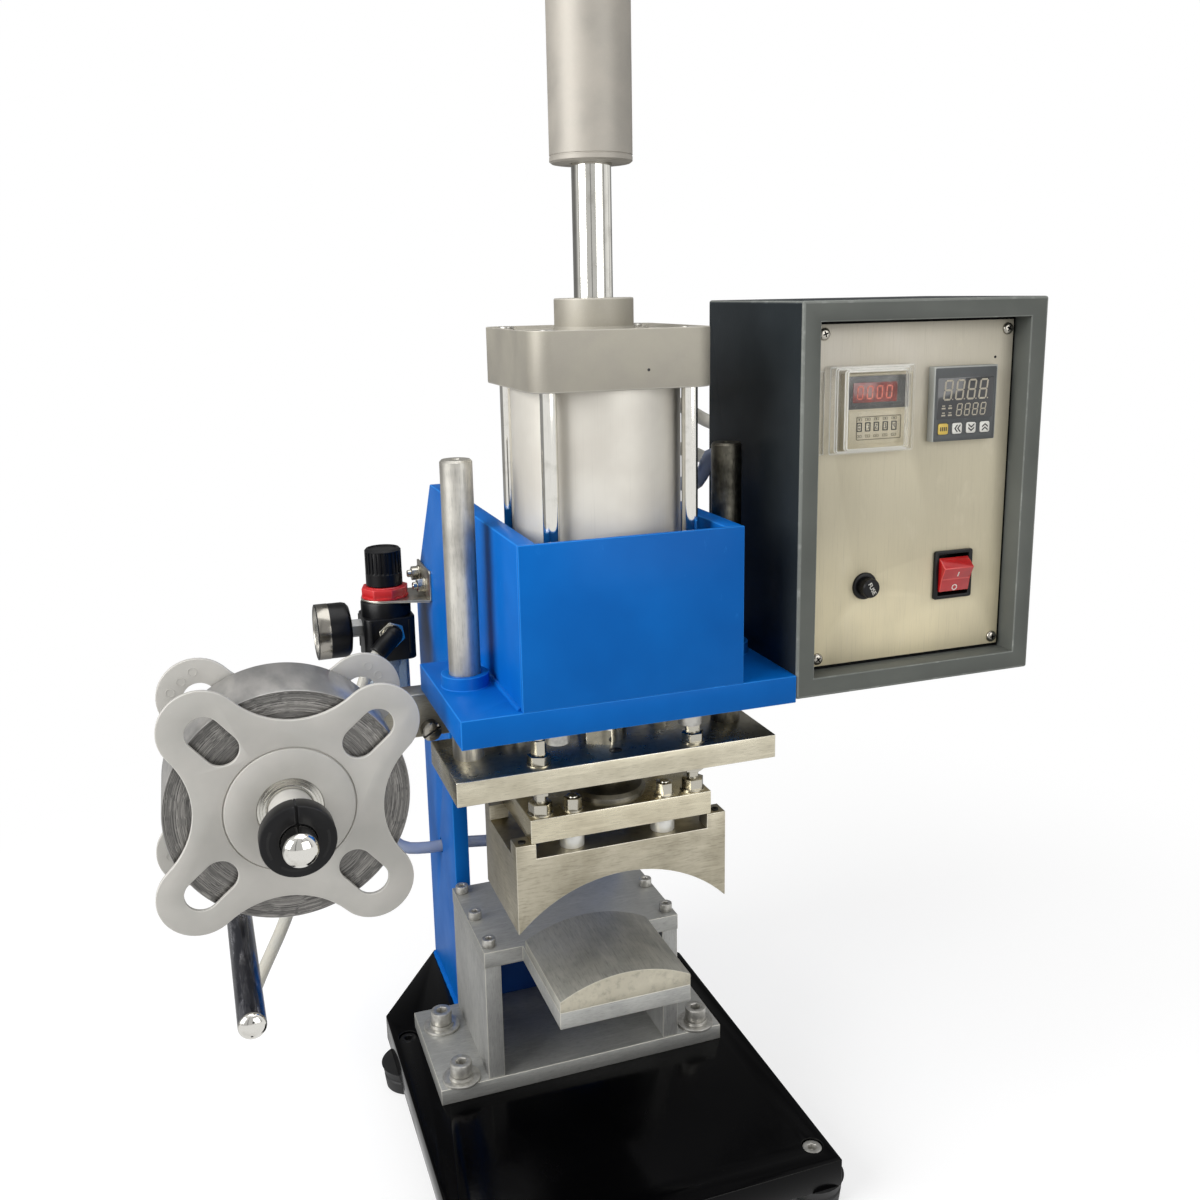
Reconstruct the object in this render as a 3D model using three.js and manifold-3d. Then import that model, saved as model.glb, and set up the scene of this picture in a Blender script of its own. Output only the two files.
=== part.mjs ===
// Bench-top pneumatic hot stamping machine: welded frame, air cylinder, heated curved stamp,
// curved anvil on a bridge fixture, foil reel, control box and pressure regulator.
// Millimetres, Z up. X runs to the operator's right and Y away from the operator.
// Every place is measured from the middle of the head plate's front top edge.
import * as THREE from "three";
import { mergeVertices } from "three/addons/utils/BufferGeometryUtils.js";
import Module from "manifold-3d";

const wasm = await Module();
wasm.setup();

// Clearances and limits of the solids
const gap = 0.3;
const overrun = 2;
const weld = 0.001;
const sides = { barrel: 48, large: 40, medium: 28, small: 20, tiny: 12, hose: 8, hex: 6, arch: 24, arc: 5 };

// Driving sizes
const cylinder = {
  cap: 114,
  capTall: 35.5,
  capCorner: 17,
  capRim: 6,
  recess: 3,
  barrelRadius: 53,
  barrelWall: 3,
  barrelLong: 149,
  bossRadius: 24.5,
  bossProud: 17,
  portRadius: 4.2,
  portDeep: 9,
  portOff: 25,
};
const tie = { off: 44.5, radius: 5, blind: 20 };
const frame = {
  clearance: 3,
  plate: 11.6,
  boxTall: 100.3,
  sheet: 3,
  slopeStart: 245,
  front: 218,
  rear: 323,
  chamferAcross: 28,
  chamferDown: 38,
  columnTall: 333,
  frontWebThick: 10,
  frontWebTall: 68,
  rearWebThick: 12,
  rearWebTop: 10,
  rearWebTall: 140,
  holeShare: 0.5171,
  holeDown: 207.4,
};
const head = { setBack: 6, behind: 54, thick: 18, edge: 18.6, collarRadius: 15.1, collarTall: 8.2 };
const guide = { radius: 10, off: 18.8, above: 143 };
const rod = { radius: 12, pistonTall: 30, pistonDown: 2.5, nutRadius: 17.3, nutTall: 16.2 };
const sleeve = { radius: 25, long: 110, cap: 12, lift: 78.5, chamfer: 1.5 };
const ram = { drop: 30.2, edge: 17.6, thick: 16, front: 41, rear: 35 };
const coupling = { radius: 25, tall: 5, stubRadius: 7, ahead: 10 };
const heater = { below: 17, half: 61.8, front: 39.5, rear: 35.5, thick: 16 };
const stamp = { half: 72, front: 39.8, deep: 79.5, tall: 60.2, channel: 10, post: 13.2, toe: 0.6, rise: 30.2 };
const base = {
  half: 130,
  front: 37.2,
  behind: 2,
  thick: 20,
  cornerAlong: 85,
  cornerAcross: 57.5,
  screwRadius: 4.5,
  sinkRadius: 7.4,
  sinkDeep: 9,
};
const foot = { radius: 22, tall: 19.5, inset: 12, frontIn: 19.5, rearIn: 119, taper: 2.5 };
const fixture = { half: 110.6, front: 114.4, thick: 12 };
const bridge = {
  half: 75,
  inset: 0.2,
  thick: 12,
  height: 90,
  setBack: 0.9,
  tongueHalf: 46.4,
  tongueFront: 25.6,
};
const anvil = { edge: 7.7, rise: 11.9, long: 82 };
const box = { wide: 178.5, tall: 249.5, deep: 134.7, wall: 2, lip: 12.7, recess: 15, ledge: 9, rise: 1.8 };
const panel = { thick: 1.5, fit: 0.4 };
const meter = { bezel: 48, body: 44.5, deep: 75 };
const timer = { acrossShare: 0.309, down: 32.5, proud: 6 };
const lid = {
  wall: 1.1,
  deep: 11.7,
  leftShare: 0.558,
  flapShare: 0.343,
  right: 1.5,
  over: 5.4,
  under: 2,
  flapTall: 52,
};
const thermostat = { acrossShare: 0.727, down: 30.3, proud: 6.5 };
const key = { wide: 7.2, tall: 7, pitch: 10.65, first: 7.7, rise: 8.1, proud: 0.8, deep: 3, travel: 0.6 };
const toggle = {
  acrossShare: 0.7293,
  rise: 38.7,
  wide: 29.7,
  tall: 33,
  proud: 2.2,
  bodyWide: 25.5,
  bodyTall: 30.2,
  bodyDeep: 25,
  wall: 1,
  pocketDeep: 11,
  pivot: 2,
  reach: 12.4,
  dip: 7.6,
  edge: 45.5,
  root: 91,
  lean: 18,
};
const fuse = {
  acrossShare: 0.2894,
  rise: 53.4,
  rim: 9,
  rimProud: 1.7,
  barrel: 7.6,
  stem: 5.8,
  deep: 30,
  floor: 3,
  cap: 6.5,
  proud: 9.5,
};
const valve = { wide: 22, deep: 40, tall: 72, front: 90, height: 94, lowPort: 112, inlet: 130, highPort: 145 };
const regulator = {
  out: 31.9,
  behind: 286,
  top: 5,
  half: 20,
  corner: 7,
  tall: 47,
  neckRadius: 15,
  ringRadius: 18.2,
  ringTall: 9.1,
  bowlRadius: 16,
  bowlTall: 44,
  bowlDome: 8,
  portDrop: 23,
  fittingRadius: 10.5,
  fittingLong: 6,
  elbowRadius: 6.5,
  elbowOut: 14.1,
  elbowAhead: 35.83,
  elbowDrop: 11.67,
};
const knob = { radius: 14.3, tall: 29.6, chamfer: 1.5 };
const bracket = { thick: 1.8, half: 19, front: 30, legTall: 25 };
const gauge = { drop: 22, radius: 22, long: 27, stemRadius: 7.5, stemLong: 8.5, rim: 2, dish: 4 };
const needle = { long: 15, tail: 5, wide: 1.5, thick: 0.7, hubRadius: 2.4, hubTall: 1.8, restDegrees: 45 };
const reel = {
  out: 95.7,
  down: 51.5,
  front: 33,
  thick: 3,
  apart: 62,
  lobes: 4,
  firstLobe: 40,
  orbit: 71,
  lobeRadius: 24,
  waist: 54.5,
  slotIn: 55,
  slotOut: 69,
  slotRadius: 10,
  discRadius: 37.5,
  discTall: 1,
  bushRadius: 13,
  plugLong: 8,
  rollRadius: 71,
  rollGap: 1.5,
};
const shaft = { radius: 10, ahead: 63, dome: 7, tenon: 6, nutRadius: 10, nutTall: 9 };
const clamp = { radius: 21, thick: 12, slit: 1.2, ahead: 46 };
const arm = {
  front: 110,
  deep: 20,
  rootIn: 2,
  rootTall: 30,
  elbowIn: 54.7,
  elbowOut: 19.7,
  eyeHalf: 18.5,
  eyeOut: 17.3,
  shoulder: 14.7,
  hangerHalf: 8,
  hangerDeep: 8,
  pinIn: 98.7,
  pinUp: 5,
  pinRadius: 6.8,
  pinProud: 7,
};
const bar = { radius: 8, out: 32.8, down: 103.5, ahead: 53, dome: 5 };
const hose = { radius: 4.8, hole: 6.2, pitch: 22 };
const route = {
  fromElbow: [
    [-0.25, -0.11, -0.2],
    [-6.9, -2.87, -5.73],
    [-13.4, -4.67, -22.33],
    [-36.1, -8.47, -79.03],
    [-60.7, -11.87, -139.63],
    [-85.4, -15.17, -200.33],
    [-106.4, -15.17, -242.33],
    [-115.4, -15.17, -262.33],
  ],
  fromRearElbow: [
    [0.3, 0, -0.8],
    [0.1, 0, -11.5],
    [-12.5, -3, -54.5],
    [-24.5, -13, -99.5],
  ],
  throughHole: [
    [-52.4, 12.7, 31.4],
    [-32.4, 1.7, 4.4],
    [-12.4, 0, 0],
    [11.6, 0, -0.2],
    [71.6, -0.3, -3.6],
    [99.6, -4.3, 11.4],
    [111.6, -17.3, 67.4],
    [111.6, -37.3, 147.4],
  ],
  overPlate: [
    [-29.6, -28, -80.3],
    [-25.6, -38, -25.3],
    [-21.6, -45, 1.7],
    [-9.6, -55, 11.7],
    [8.4, -77, 7.7],
  ],
  toInlet: [
    [-14, 21, -25],
    [-12, 6, -13],
    [-10, 0.5, -2],
    [-4.5, 0, 0],
    [1.6, 0, 0],
  ],
  fromLowCap: [
    [0, 0.3, 0],
    [0, 10, 0],
    [2, 27, 12.25],
    [7, 37, 47.25],
    [17, 41, 82.25],
  ],
  toLowPort: [
    [-60, 36, 12],
    [-30, 37, 16],
    [-6, 31, 8],
    [0, 18, 0.5],
    [0, 0.4, 0],
  ],
  fromHighCap: [
    [0, 0.3, 0],
    [0, 11, 0],
    [9, 29, -4.25],
    [37, 42, -24.25],
  ],
  toHighPort: [
    [-24, 37, 15],
    [-4, 28, 2],
    [0, 16, 0],
    [0, 0.4, 0],
  ],
};

// Places worked out from the driving sizes
const innerHalf = cylinder.cap / 2 + frame.clearance;
const frameHalf = innerHalf + frame.plate;
const axisY = frame.sheet + head.setBack + cylinder.cap / 2;
const guideX = frameHalf + guide.off;
const headHalf = guideX + head.edge;
const headRear = axisY + head.behind;
const headLow = -head.thick;
const floorZ = -frame.columnTall;
const holeBack = frame.front + frame.holeShare * (frame.rear - frame.front);
const barrelTop = cylinder.capTall + cylinder.barrelLong;
const capTop = barrelTop + cylinder.capTall;
const bossTop = capTop + cylinder.bossProud;
const sleeveLow = bossTop + sleeve.lift;
const sleeveTop = sleeveLow + sleeve.long;
const ramTop = headLow - ram.drop;
const ramLow = ramTop - ram.thick;
const heaterTop = ramLow - heater.below;
const heaterLow = heaterTop - heater.thick;
const stampLow = heaterLow - stamp.tall;
const stampFront = axisY - stamp.front;
const stampRear = stampFront + stamp.deep;
const baseRear = frame.rear + base.behind;
const baseLow = floorZ - base.thick;
const footX = base.half - foot.inset;
const footFront = foot.frontIn - base.front;
const footRear = baseRear - foot.rearIn;
const footLow = baseLow - foot.tall;
const fixtureRear = frame.front - gap;
const bridgeLow = floorZ + fixture.thick + bridge.height;
const bridgeTop = bridgeLow + fixture.thick;
const boxLow = headLow + box.rise;
const boxTop = boxLow + box.tall;
const boxRight = headHalf + box.wide;
const openLeft = headHalf + box.lip;
const openRight = boxRight - box.lip;
const openLow = boxLow + box.lip;
const openTop = boxTop - box.lip;
const panelBack = box.recess + panel.thick;
const openWide = openRight - openLeft;
const timerX = openLeft + timer.acrossShare * openWide;
const timerZ = openTop - timer.down - meter.bezel / 2;
const thermostatX = openLeft + thermostat.acrossShare * openWide;
const thermostatZ = openTop - thermostat.down - meter.bezel / 2;
const toggleX = openLeft + toggle.acrossShare * openWide;
const toggleZ = openLow + toggle.rise + toggle.tall / 2;
const fuseX = openLeft + fuse.acrossShare * openWide;
const fuseZ = openLow + fuse.rise;
const reelX = -headHalf - reel.out;
const reelZ = -reel.down;
const rearDisc = reel.front + reel.thick + reel.apart;
const clampFront = reel.front - clamp.ahead;
const clampRear = clampFront + clamp.thick;
const armRear = arm.front + arm.deep;
const barX = reelX - bar.out;
const barZ = reelZ - bar.down;
const regulatorX = -frameHalf - regulator.out;
const regulatorLow = regulator.top - regulator.tall;
const portZ = regulator.top - regulator.portDrop;
const ringLow = regulator.top + bracket.thick + 2 * gap;
const ringTop = ringLow + regulator.ringTall;
const gaugeZ = regulator.top - gauge.drop;
const elbowEnd = [regulatorX - regulator.elbowOut, regulator.behind - regulator.elbowAhead, portZ - regulator.elbowDrop];
const rearElbowY = regulator.behind + regulator.half + regulator.fittingLong;
const rearElbowEnd = [regulatorX, rearElbowY, portZ - regulator.elbowRadius - regulator.fittingLong];

const valveX = headHalf + box.wall + valve.wide / 2;
const valveMiddle = valve.front + valve.deep / 2;

// Closed solids
function solid(geometry) {
  const bare = geometry.index ? geometry.toNonIndexed() : geometry;
  bare.deleteAttribute("normal");
  bare.deleteAttribute("uv");
  const merged = mergeVertices(bare, weld);
  const corners = merged.index.array;
  const kept = [];
  for (let i = 0; i < corners.length; i += 3) {
    const [a, b, c] = corners.slice(i, i + 3);
    if (a !== b && b !== c && c !== a) kept.push(a, b, c);
  }
  const vertProperties = merged.attributes.position.array;
  return new wasm.Manifold(new wasm.Mesh({ numProp: 3, vertProperties, triVerts: new Uint32Array(kept) }));
}

const axes = { x: new THREE.Vector3(1, 0, 0), y: new THREE.Vector3(0, 1, 0), z: new THREE.Vector3(0, 0, 1) };

function basis(a, b, c) {
  return new THREE.Matrix4().makeBasis(a, b, c);
}

// An outline is drawn in (y, z) to be pushed along x, in (x, z) along y and in (x, y) along z.
const pushTurn = {
  x: basis(axes.y, axes.z, axes.x),
  y: basis(axes.x, axes.z, axes.y.clone().negate()),
  z: new THREE.Matrix4(),
};
const spinTurn = { x: basis(axes.y, axes.z, axes.x), y: basis(axes.z, axes.x, axes.y), z: new THREE.Matrix4() };

function block(x0, x1, y0, y1, z0, z1) {
  const shape = new THREE.BoxGeometry(x1 - x0, y1 - y0, z1 - z0);
  return solid(shape.translate((x0 + x1) / 2, (y0 + y1) / 2, (z0 + z1) / 2));
}

// Profile points are [radius, place along the axis], from the axis out and back to the axis.
function turned(axis, profile, place, count) {
  const points = profile.map(([radius, t]) => new THREE.Vector2(radius, t));
  const shape = new THREE.LatheGeometry(points, count).rotateX(Math.PI / 2);
  return solid(shape.applyMatrix4(spinTurn[axis]).translate(...place));
}

function round(axis, radius, from, to, place, count) {
  const profile = [
    [0, from],
    [radius, from],
    [radius, to],
    [0, to],
  ];
  return turned(axis, profile, place, count);
}

function bored(body, axis, radius, from, to, place, count) {
  return body.subtract(round(axis, radius, from - overrun, to + overrun, place, count));
}

function domed(radius, tip, tall) {
  return Array.from({ length: sides.arc + 1 }, (_, i) => {
    const angle = ((i / sides.arc) * Math.PI) / 2;
    return [radius * Math.sin(angle), tip + tall * (1 - Math.cos(angle))];
  });
}

function polygon(points) {
  return new THREE.Shape(points.map(([a, b]) => new THREE.Vector2(a, b)));
}

function pushed(axis, outline, from, to) {
  const settings = { depth: to - from, bevelEnabled: false, curveSegments: sides.arc };
  const geometry = new THREE.ExtrudeGeometry(outline, settings);
  return solid(geometry.translate(0, 0, axis === "y" ? -to : from).applyMatrix4(pushTurn[axis]));
}

function roundedRectangle(x0, x1, y0, y1, corner) {
  const quarter = Math.PI / 2;
  const shape = new THREE.Shape();
  shape.absarc(x1 - corner, y0 + corner, corner, -quarter, 0);
  shape.absarc(x1 - corner, y1 - corner, corner, 0, quarter);
  shape.absarc(x0 + corner, y1 - corner, corner, quarter, 2 * quarter);
  shape.absarc(x0 + corner, y0 + corner, corner, 2 * quarter, 3 * quarter);
  return shape;
}

// Points of a shallow arch from its left foot to its right foot.
function arch(half, low, rise) {
  const radius = (half * half + rise * rise) / (2 * rise);
  const reach = Math.asin(half / radius);
  return Array.from({ length: sides.arch + 1 }, (_, i) => {
    const angle = reach * ((2 * i) / sides.arch - 1);
    return [radius * Math.sin(angle), low + rise - radius + radius * Math.cos(angle)];
  });
}

// A round bar between two points.
function strut(start, end, radius, count) {
  const from = new THREE.Vector3(...start);
  const way = new THREE.Vector3(...end).sub(from);
  const turn = new THREE.Quaternion().setFromUnitVectors(axes.y, way.clone().normalize());
  const shape = new THREE.CylinderGeometry(radius, radius, way.length(), count).applyQuaternion(turn);
  return solid(shape.translate(...from.addScaledVector(way, 1 / 2).toArray()));
}

// A hose of round section along a hand-picked route.
function hosed(points) {
  const route = new THREE.CatmullRomCurve3(points.map((point) => new THREE.Vector3(...point)));
  const section = Array.from({ length: sides.hose }, (_, i) => {
    const angle = (2 * Math.PI * i) / sides.hose;
    return [hose.radius * Math.cos(angle), hose.radius * Math.sin(angle)];
  });
  const steps = Math.round(route.getLength() / hose.pitch);
  return solid(new THREE.ExtrudeGeometry(polygon(section), { extrudePath: route, steps, bevelEnabled: false }));
}

const machine = new THREE.Group();

const looks = {
  blue: { color: 0x1465c8, roughness: 0.35, metalness: 0 },
  navy: { color: 0x173a78, roughness: 0.4, metalness: 0 },
  gloss: { color: 0x0b0b0c, roughness: 0.12, metalness: 0 },
  rubber: { color: 0x141414, roughness: 0.8, metalness: 0 },
  cast: { color: 0xa9a69b, roughness: 0.5, metalness: 0.8 },
  barrel: { color: 0xd9d7cd, roughness: 0.35, metalness: 0.9 },
  chrome: { color: 0xe6e4dc, roughness: 0.08, metalness: 1 },
  steel: { color: 0xa8a596, roughness: 0.35, metalness: 1 },
  aluminium: { color: 0x9a9b99, roughness: 0.45, metalness: 0.9 },
  reel: { color: 0xb3b1ab, roughness: 0.45, metalness: 0.1 },
  foil: { color: 0x8b8f90, roughness: 0.25, metalness: 0.7 },
  boxGrey: { color: 0x3c4442, roughness: 0.5, metalness: 0 },
  panel: { color: 0xb8b09a, roughness: 0.35, metalness: 1 },
  beige: { color: 0xcac0a4, roughness: 0.5, metalness: 0 },
  black: { color: 0x17181a, roughness: 0.4, metalness: 0 },
  clear: { color: 0xdfe4e2, roughness: 0.1, metalness: 0 },
  red: { color: 0xd02020, roughness: 0.35, metalness: 0 },
  white: { color: 0xe9e7df, roughness: 0.5, metalness: 0 },
  yellow: { color: 0xd8ac2c, roughness: 0.5, metalness: 0 },
};

function add(name, shape, look) {
  const { vertProperties, triVerts } = shape.getMesh();
  const geometry = new THREE.BufferGeometry();
  geometry.setAttribute("position", new THREE.BufferAttribute(vertProperties, 3));
  geometry.setIndex(new THREE.BufferAttribute(triVerts, 1));
  const mesh = new THREE.Mesh(geometry, new THREE.MeshStandardMaterial(look));
  mesh.name = name;
  machine.add(mesh);
}

const hands = { left: -1, right: 1 };

// Base plate with its counterbored foot screw holes, and four rubber feet
function basePlate() {
  const left = -base.half;
  const cutX = base.half - base.cornerAcross;
  const cutY = baseRear - base.cornerAlong;
  const outline = [
    [left, -base.front],
    [base.half, -base.front],
    [base.half, cutY],
    [cutX, baseRear],
    [-cutX, baseRear],
    [left, cutY],
  ];
  let plate = pushed("z", polygon(outline), baseLow, floorZ);
  for (const x of [-footX, footX]) {
    for (const y of [footFront, footRear]) {
      plate = bored(plate, "z", base.screwRadius, baseLow, floorZ, [x, y, 0], sides.tiny);
      plate = bored(plate, "z", base.sinkRadius, floorZ - base.sinkDeep + overrun, floorZ, [x, y, 0], sides.small);
    }
  }
  return plate;
}

add("base_plate", basePlate(), looks.gloss);
for (const [hand, way] of Object.entries(hands)) {
  for (const [end, y] of Object.entries({ front: footFront, rear: footRear })) {
    const profile = [
      [0, footLow],
      [foot.radius - foot.taper, footLow],
      [foot.radius, baseLow],
      [0, baseLow],
    ];
    add(`foot_${end}_${hand}`, turned("z", profile, [way * footX, y, 0], sides.medium), looks.rubber);
  }
}

// Welded frame: side plates, column plates, head plate and the thin front of the cylinder box
function sidePlate(way) {
  const outline = [
    [frame.sheet, 0],
    [frame.sheet, frame.boxTall],
    [frame.slopeStart, frame.boxTall],
    [frame.rear, 0],
    [frame.rear, floorZ],
    [frame.front, floorZ],
    [frame.front, headLow - frame.chamferDown],
    [frame.front - frame.chamferAcross, headLow],
    [headRear, headLow],
    [headRear, 0],
  ];
  const [from, to] = way < 0 ? [-frameHalf, -innerHalf] : [innerHalf, frameHalf];
  return pushed("x", polygon(outline), from, to);
}

function headPlate() {
  let plate = block(-headHalf, headHalf, 0, headRear, headLow, 0);
  for (const x of [-guideX, guideX]) {
    const place = [x, axisY, 0];
    plate = plate.add(round("z", head.collarRadius, headLow, head.collarTall, place, sides.medium));
    plate = bored(plate, "z", guide.radius + gap, headLow, head.collarTall, place, sides.medium);
  }
  return bored(plate, "z", rod.radius + gap, headLow, 0, [0, axisY, 0], sides.medium);
}

const hosePlace = [0, holeBack, -frame.holeDown];
const leftPlate = bored(sidePlate(-1), "x", hose.hole, -frameHalf, -innerHalf, hosePlace, sides.small);
const frontWebTop = floorZ + frame.frontWebTall;
const rearWebTop = headLow + frame.rearWebTop;
const rearWebFront = frame.rear - frame.rearWebThick;
const rearWebLow = rearWebTop - frame.rearWebTall;
add("left_side_plate", leftPlate, looks.blue);
add("right_side_plate", sidePlate(1), looks.blue);
add(
  "column_front_plate",
  block(-innerHalf, innerHalf, frame.front, frame.front + frame.frontWebThick, floorZ, frontWebTop),
  looks.navy,
);
add(
  "column_rear_plate",
  block(-innerHalf, innerHalf, rearWebFront, frame.rear, rearWebLow, rearWebTop),
  looks.blue,
);
add("head_plate", headPlate(), looks.blue);
add("front_panel", block(-frameHalf, frameHalf, 0, frame.sheet, 0, frame.boxTall), looks.blue);

// Air cylinder: two square caps, a barrel and four tie rods
function cap(low, high, edge) {
  const half = cylinder.cap / 2 - edge;
  const corner = cylinder.capCorner - edge;
  return pushed("z", roundedRectangle(-half, half, axisY - half, axisY + half, corner), low, high);
}

const tieSpots = [];
for (const [hand, across] of Object.entries(hands)) {
  for (const [end, along] of Object.entries({ front: -1, rear: 1 })) {
    tieSpots.push([`${end}_${hand}`, across * tie.off, axisY + along * tie.off]);
  }
}

// Cuts the rod bore, the rear port and the four blind tie rod holes of one cap.
function capHoles(body, low, high, tieFrom, tieTo) {
  const rear = axisY + cylinder.cap / 2;
  const portPlace = [cylinder.portOff, 0, (low + high) / 2];
  let cut = bored(body, "z", rod.radius + gap, low, bossTop, [0, axisY, 0], sides.medium);
  cut = bored(cut, "y", cylinder.portRadius, rear - cylinder.portDeep + overrun, rear, portPlace, sides.tiny);
  for (const [, x, y] of tieSpots) {
    cut = cut.subtract(round("z", tie.radius + gap, tieFrom, tieTo, [x, y, 0], sides.tiny));
  }
  return cut;
}

const lowerCap = cap(0, cylinder.capTall, 0);
const recess = cap(capTop - cylinder.recess, capTop + overrun, cylinder.capRim);
const boss = round("z", cylinder.bossRadius, barrelTop, bossTop, [0, axisY, 0], sides.large);
const upperCap = cap(barrelTop, capTop, 0).subtract(recess).add(boss);
const tieLow = cylinder.capTall - tie.blind;
const tieHigh = barrelTop + tie.blind;
const barrelInner = cylinder.barrelRadius - cylinder.barrelWall;
const barrelTube = round("z", cylinder.barrelRadius, cylinder.capTall, barrelTop, [0, axisY, 0], sides.barrel);
add(
  "cylinder_lower_cap",
  capHoles(lowerCap, 0, cylinder.capTall, tieLow - gap, cylinder.capTall + overrun),
  looks.cast,
);
add(
  "cylinder_barrel",
  bored(barrelTube, "z", barrelInner, cylinder.capTall, barrelTop, [0, axisY, 0], sides.barrel),
  looks.barrel,
);
add(
  "cylinder_upper_cap",
  capHoles(upperCap, barrelTop, capTop, barrelTop - overrun, tieHigh + gap),
  looks.cast,
);
for (const [name, x, y] of tieSpots) {
  add(`tie_rod_${name}`, round("z", tie.radius, tieLow, tieHigh, [x, y, 0], sides.tiny), looks.chrome);
}

// Through rod with its piston and lower nut, and the stroke adjusting sleeve on its upper end
function pistonRod() {
  const pistonTop = barrelTop - rod.pistonDown;
  const pistonRadius = barrelInner - gap;
  const rodTop = sleeveTop - sleeve.cap - gap;
  const profile = [
    [0, ramTop],
    [rod.radius, ramTop],
    [rod.radius, pistonTop - rod.pistonTall],
    [pistonRadius, pistonTop - rod.pistonTall],
    [pistonRadius, pistonTop],
    [rod.radius, pistonTop],
    [rod.radius, rodTop],
    [0, rodTop],
  ];
  const place = [0, axisY, 0];
  const nut = round("z", rod.nutRadius, ramTop, ramTop + rod.nutTall, place, sides.hex);
  return turned("z", profile, place, sides.medium).add(nut);
}

function adjuster() {
  const bore = rod.radius + gap;
  const profile = [
    [0, sleeveTop - sleeve.cap],
    [bore, sleeveTop - sleeve.cap],
    [bore, sleeveLow],
    [sleeve.radius - sleeve.chamfer, sleeveLow],
    [sleeve.radius, sleeveLow + sleeve.chamfer],
    [sleeve.radius, sleeveTop - sleeve.chamfer],
    [sleeve.radius - sleeve.chamfer, sleeveTop],
    [0, sleeveTop],
  ];
  return turned("z", profile, [0, axisY, 0], sides.medium);
}

add("piston_rod", pistonRod(), looks.chrome);
add("adjuster_sleeve", adjuster(), looks.cast);

// Ram: plate, guide rods, coupling, heater plate and the stamp block with its arched underside
function stampBlock() {
  const low = arch(stamp.half - stamp.toe, stampLow, stamp.rise);
  const outline = [[-stamp.half, stampLow], ...low, [stamp.half, stampLow], [stamp.half, heaterLow], [-stamp.half, heaterLow]];
  const inner = stamp.half - stamp.post;
  const channelLow = heaterLow - stamp.channel;
  const high = heaterLow + overrun;
  const lengthways = block(-inner, inner, stampFront - overrun, stampRear + overrun, channelLow, high);
  const reach = stamp.half + overrun;
  const crossways = block(-reach, reach, stampFront + stamp.post, stampRear - stamp.post, channelLow, high);
  return pushed("y", polygon(outline), stampFront, stampRear).subtract(lengthways).subtract(crossways);
}

function ramCoupling() {
  const place = [0, axisY - coupling.ahead, 0];
  const flange = round("z", coupling.radius, heaterTop, heaterTop + coupling.tall, place, sides.medium);
  return flange.add(round("z", coupling.stubRadius, heaterTop, ramLow, place, sides.small));
}

const ramHalf = guideX + ram.edge;
add("ram_plate", block(-ramHalf, ramHalf, axisY - ram.front, axisY + ram.rear, ramLow, ramTop), looks.steel);
for (const [hand, way] of Object.entries(hands)) {
  const place = [way * guideX, axisY, 0];
  add(`guide_rod_${hand}`, round("z", guide.radius, ramTop, guide.above, place, sides.medium), looks.steel);
}
add("ram_coupling", ramCoupling(), looks.steel);
add(
  "heater_plate",
  block(-heater.half, heater.half, axisY - heater.front, axisY + heater.rear, heaterLow, heaterTop),
  looks.steel,
);
add("stamp_block", stampBlock(), looks.steel);

// Bridge fixture with the curved anvil on its tongue
function bridgeTopPlate() {
  const outline = [
    [-bridge.tongueHalf, bridge.tongueFront],
    [bridge.tongueHalf, bridge.tongueFront],
    [bridge.tongueHalf, fixture.front],
    [bridge.half, fixture.front],
    [bridge.half, fixtureRear],
    [-bridge.half, fixtureRear],
    [-bridge.half, fixture.front],
    [-bridge.tongueHalf, fixture.front],
  ];
  return pushed("z", polygon(outline), bridgeLow, bridgeTop);
}

function anvilBlock() {
  const edge = bridgeTop + anvil.edge;
  const outline = [
    [-bridge.tongueHalf, bridgeTop],
    [bridge.tongueHalf, bridgeTop],
    ...arch(bridge.tongueHalf, edge, anvil.rise).reverse(),
  ];
  return pushed("y", polygon(outline), bridge.tongueFront, bridge.tongueFront + anvil.long);
}

const uprightOut = bridge.half - bridge.inset;
const uprightIn = uprightOut - bridge.thick;
const uprightFront = fixture.front + bridge.setBack;
const uprightRear = fixtureRear - bridge.setBack;
const uprightLow = floorZ + fixture.thick;
add(
  "fixture_base",
  block(-fixture.half, fixture.half, fixture.front, fixtureRear, floorZ, uprightLow),
  looks.aluminium,
);
add(
  "fixture_upright_left",
  block(-uprightOut, -uprightIn, uprightFront, uprightRear, uprightLow, bridgeLow),
  looks.aluminium,
);
add(
  "fixture_upright_right",
  block(uprightIn, uprightOut, uprightFront, uprightRear, uprightLow, bridgeLow),
  looks.aluminium,
);
add("fixture_top", bridgeTopPlate(), looks.aluminium);
add("anvil", anvilBlock(), looks.aluminium);

// Control box: folded sheet with a recessed front and an inner ledge for the panel
function controlBox() {
  const { wall, deep, ledge } = box;
  const hollow = block(headHalf + wall, boxRight - wall, wall, deep - wall, boxLow + wall, boxTop - wall);
  const mouth = block(openLeft, openRight, -overrun, panelBack, openLow, openTop);
  const window = block(
    openLeft + ledge,
    openRight - ledge,
    -overrun,
    panelBack + wall + overrun,
    openLow + ledge,
    openTop - ledge,
  );
  const rim = block(openLeft - wall, openRight + wall, 0, panelBack + wall, openLow - wall, openTop + wall);
  let shell = block(headHalf, boxRight, 0, deep, boxLow, boxTop).subtract(hollow).add(rim);
  shell = shell.subtract(mouth).subtract(window);
  const wallPlace = [0, valveMiddle, valve.inlet];
  shell = bored(shell, "x", hose.hole, headHalf, headHalf + wall, wallPlace, sides.small);
  for (const high of [valve.lowPort, valve.highPort]) {
    shell = bored(shell, "y", hose.hole, deep - wall, deep, [valveX, 0, high], sides.small);
  }
  return shell;
}

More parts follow.
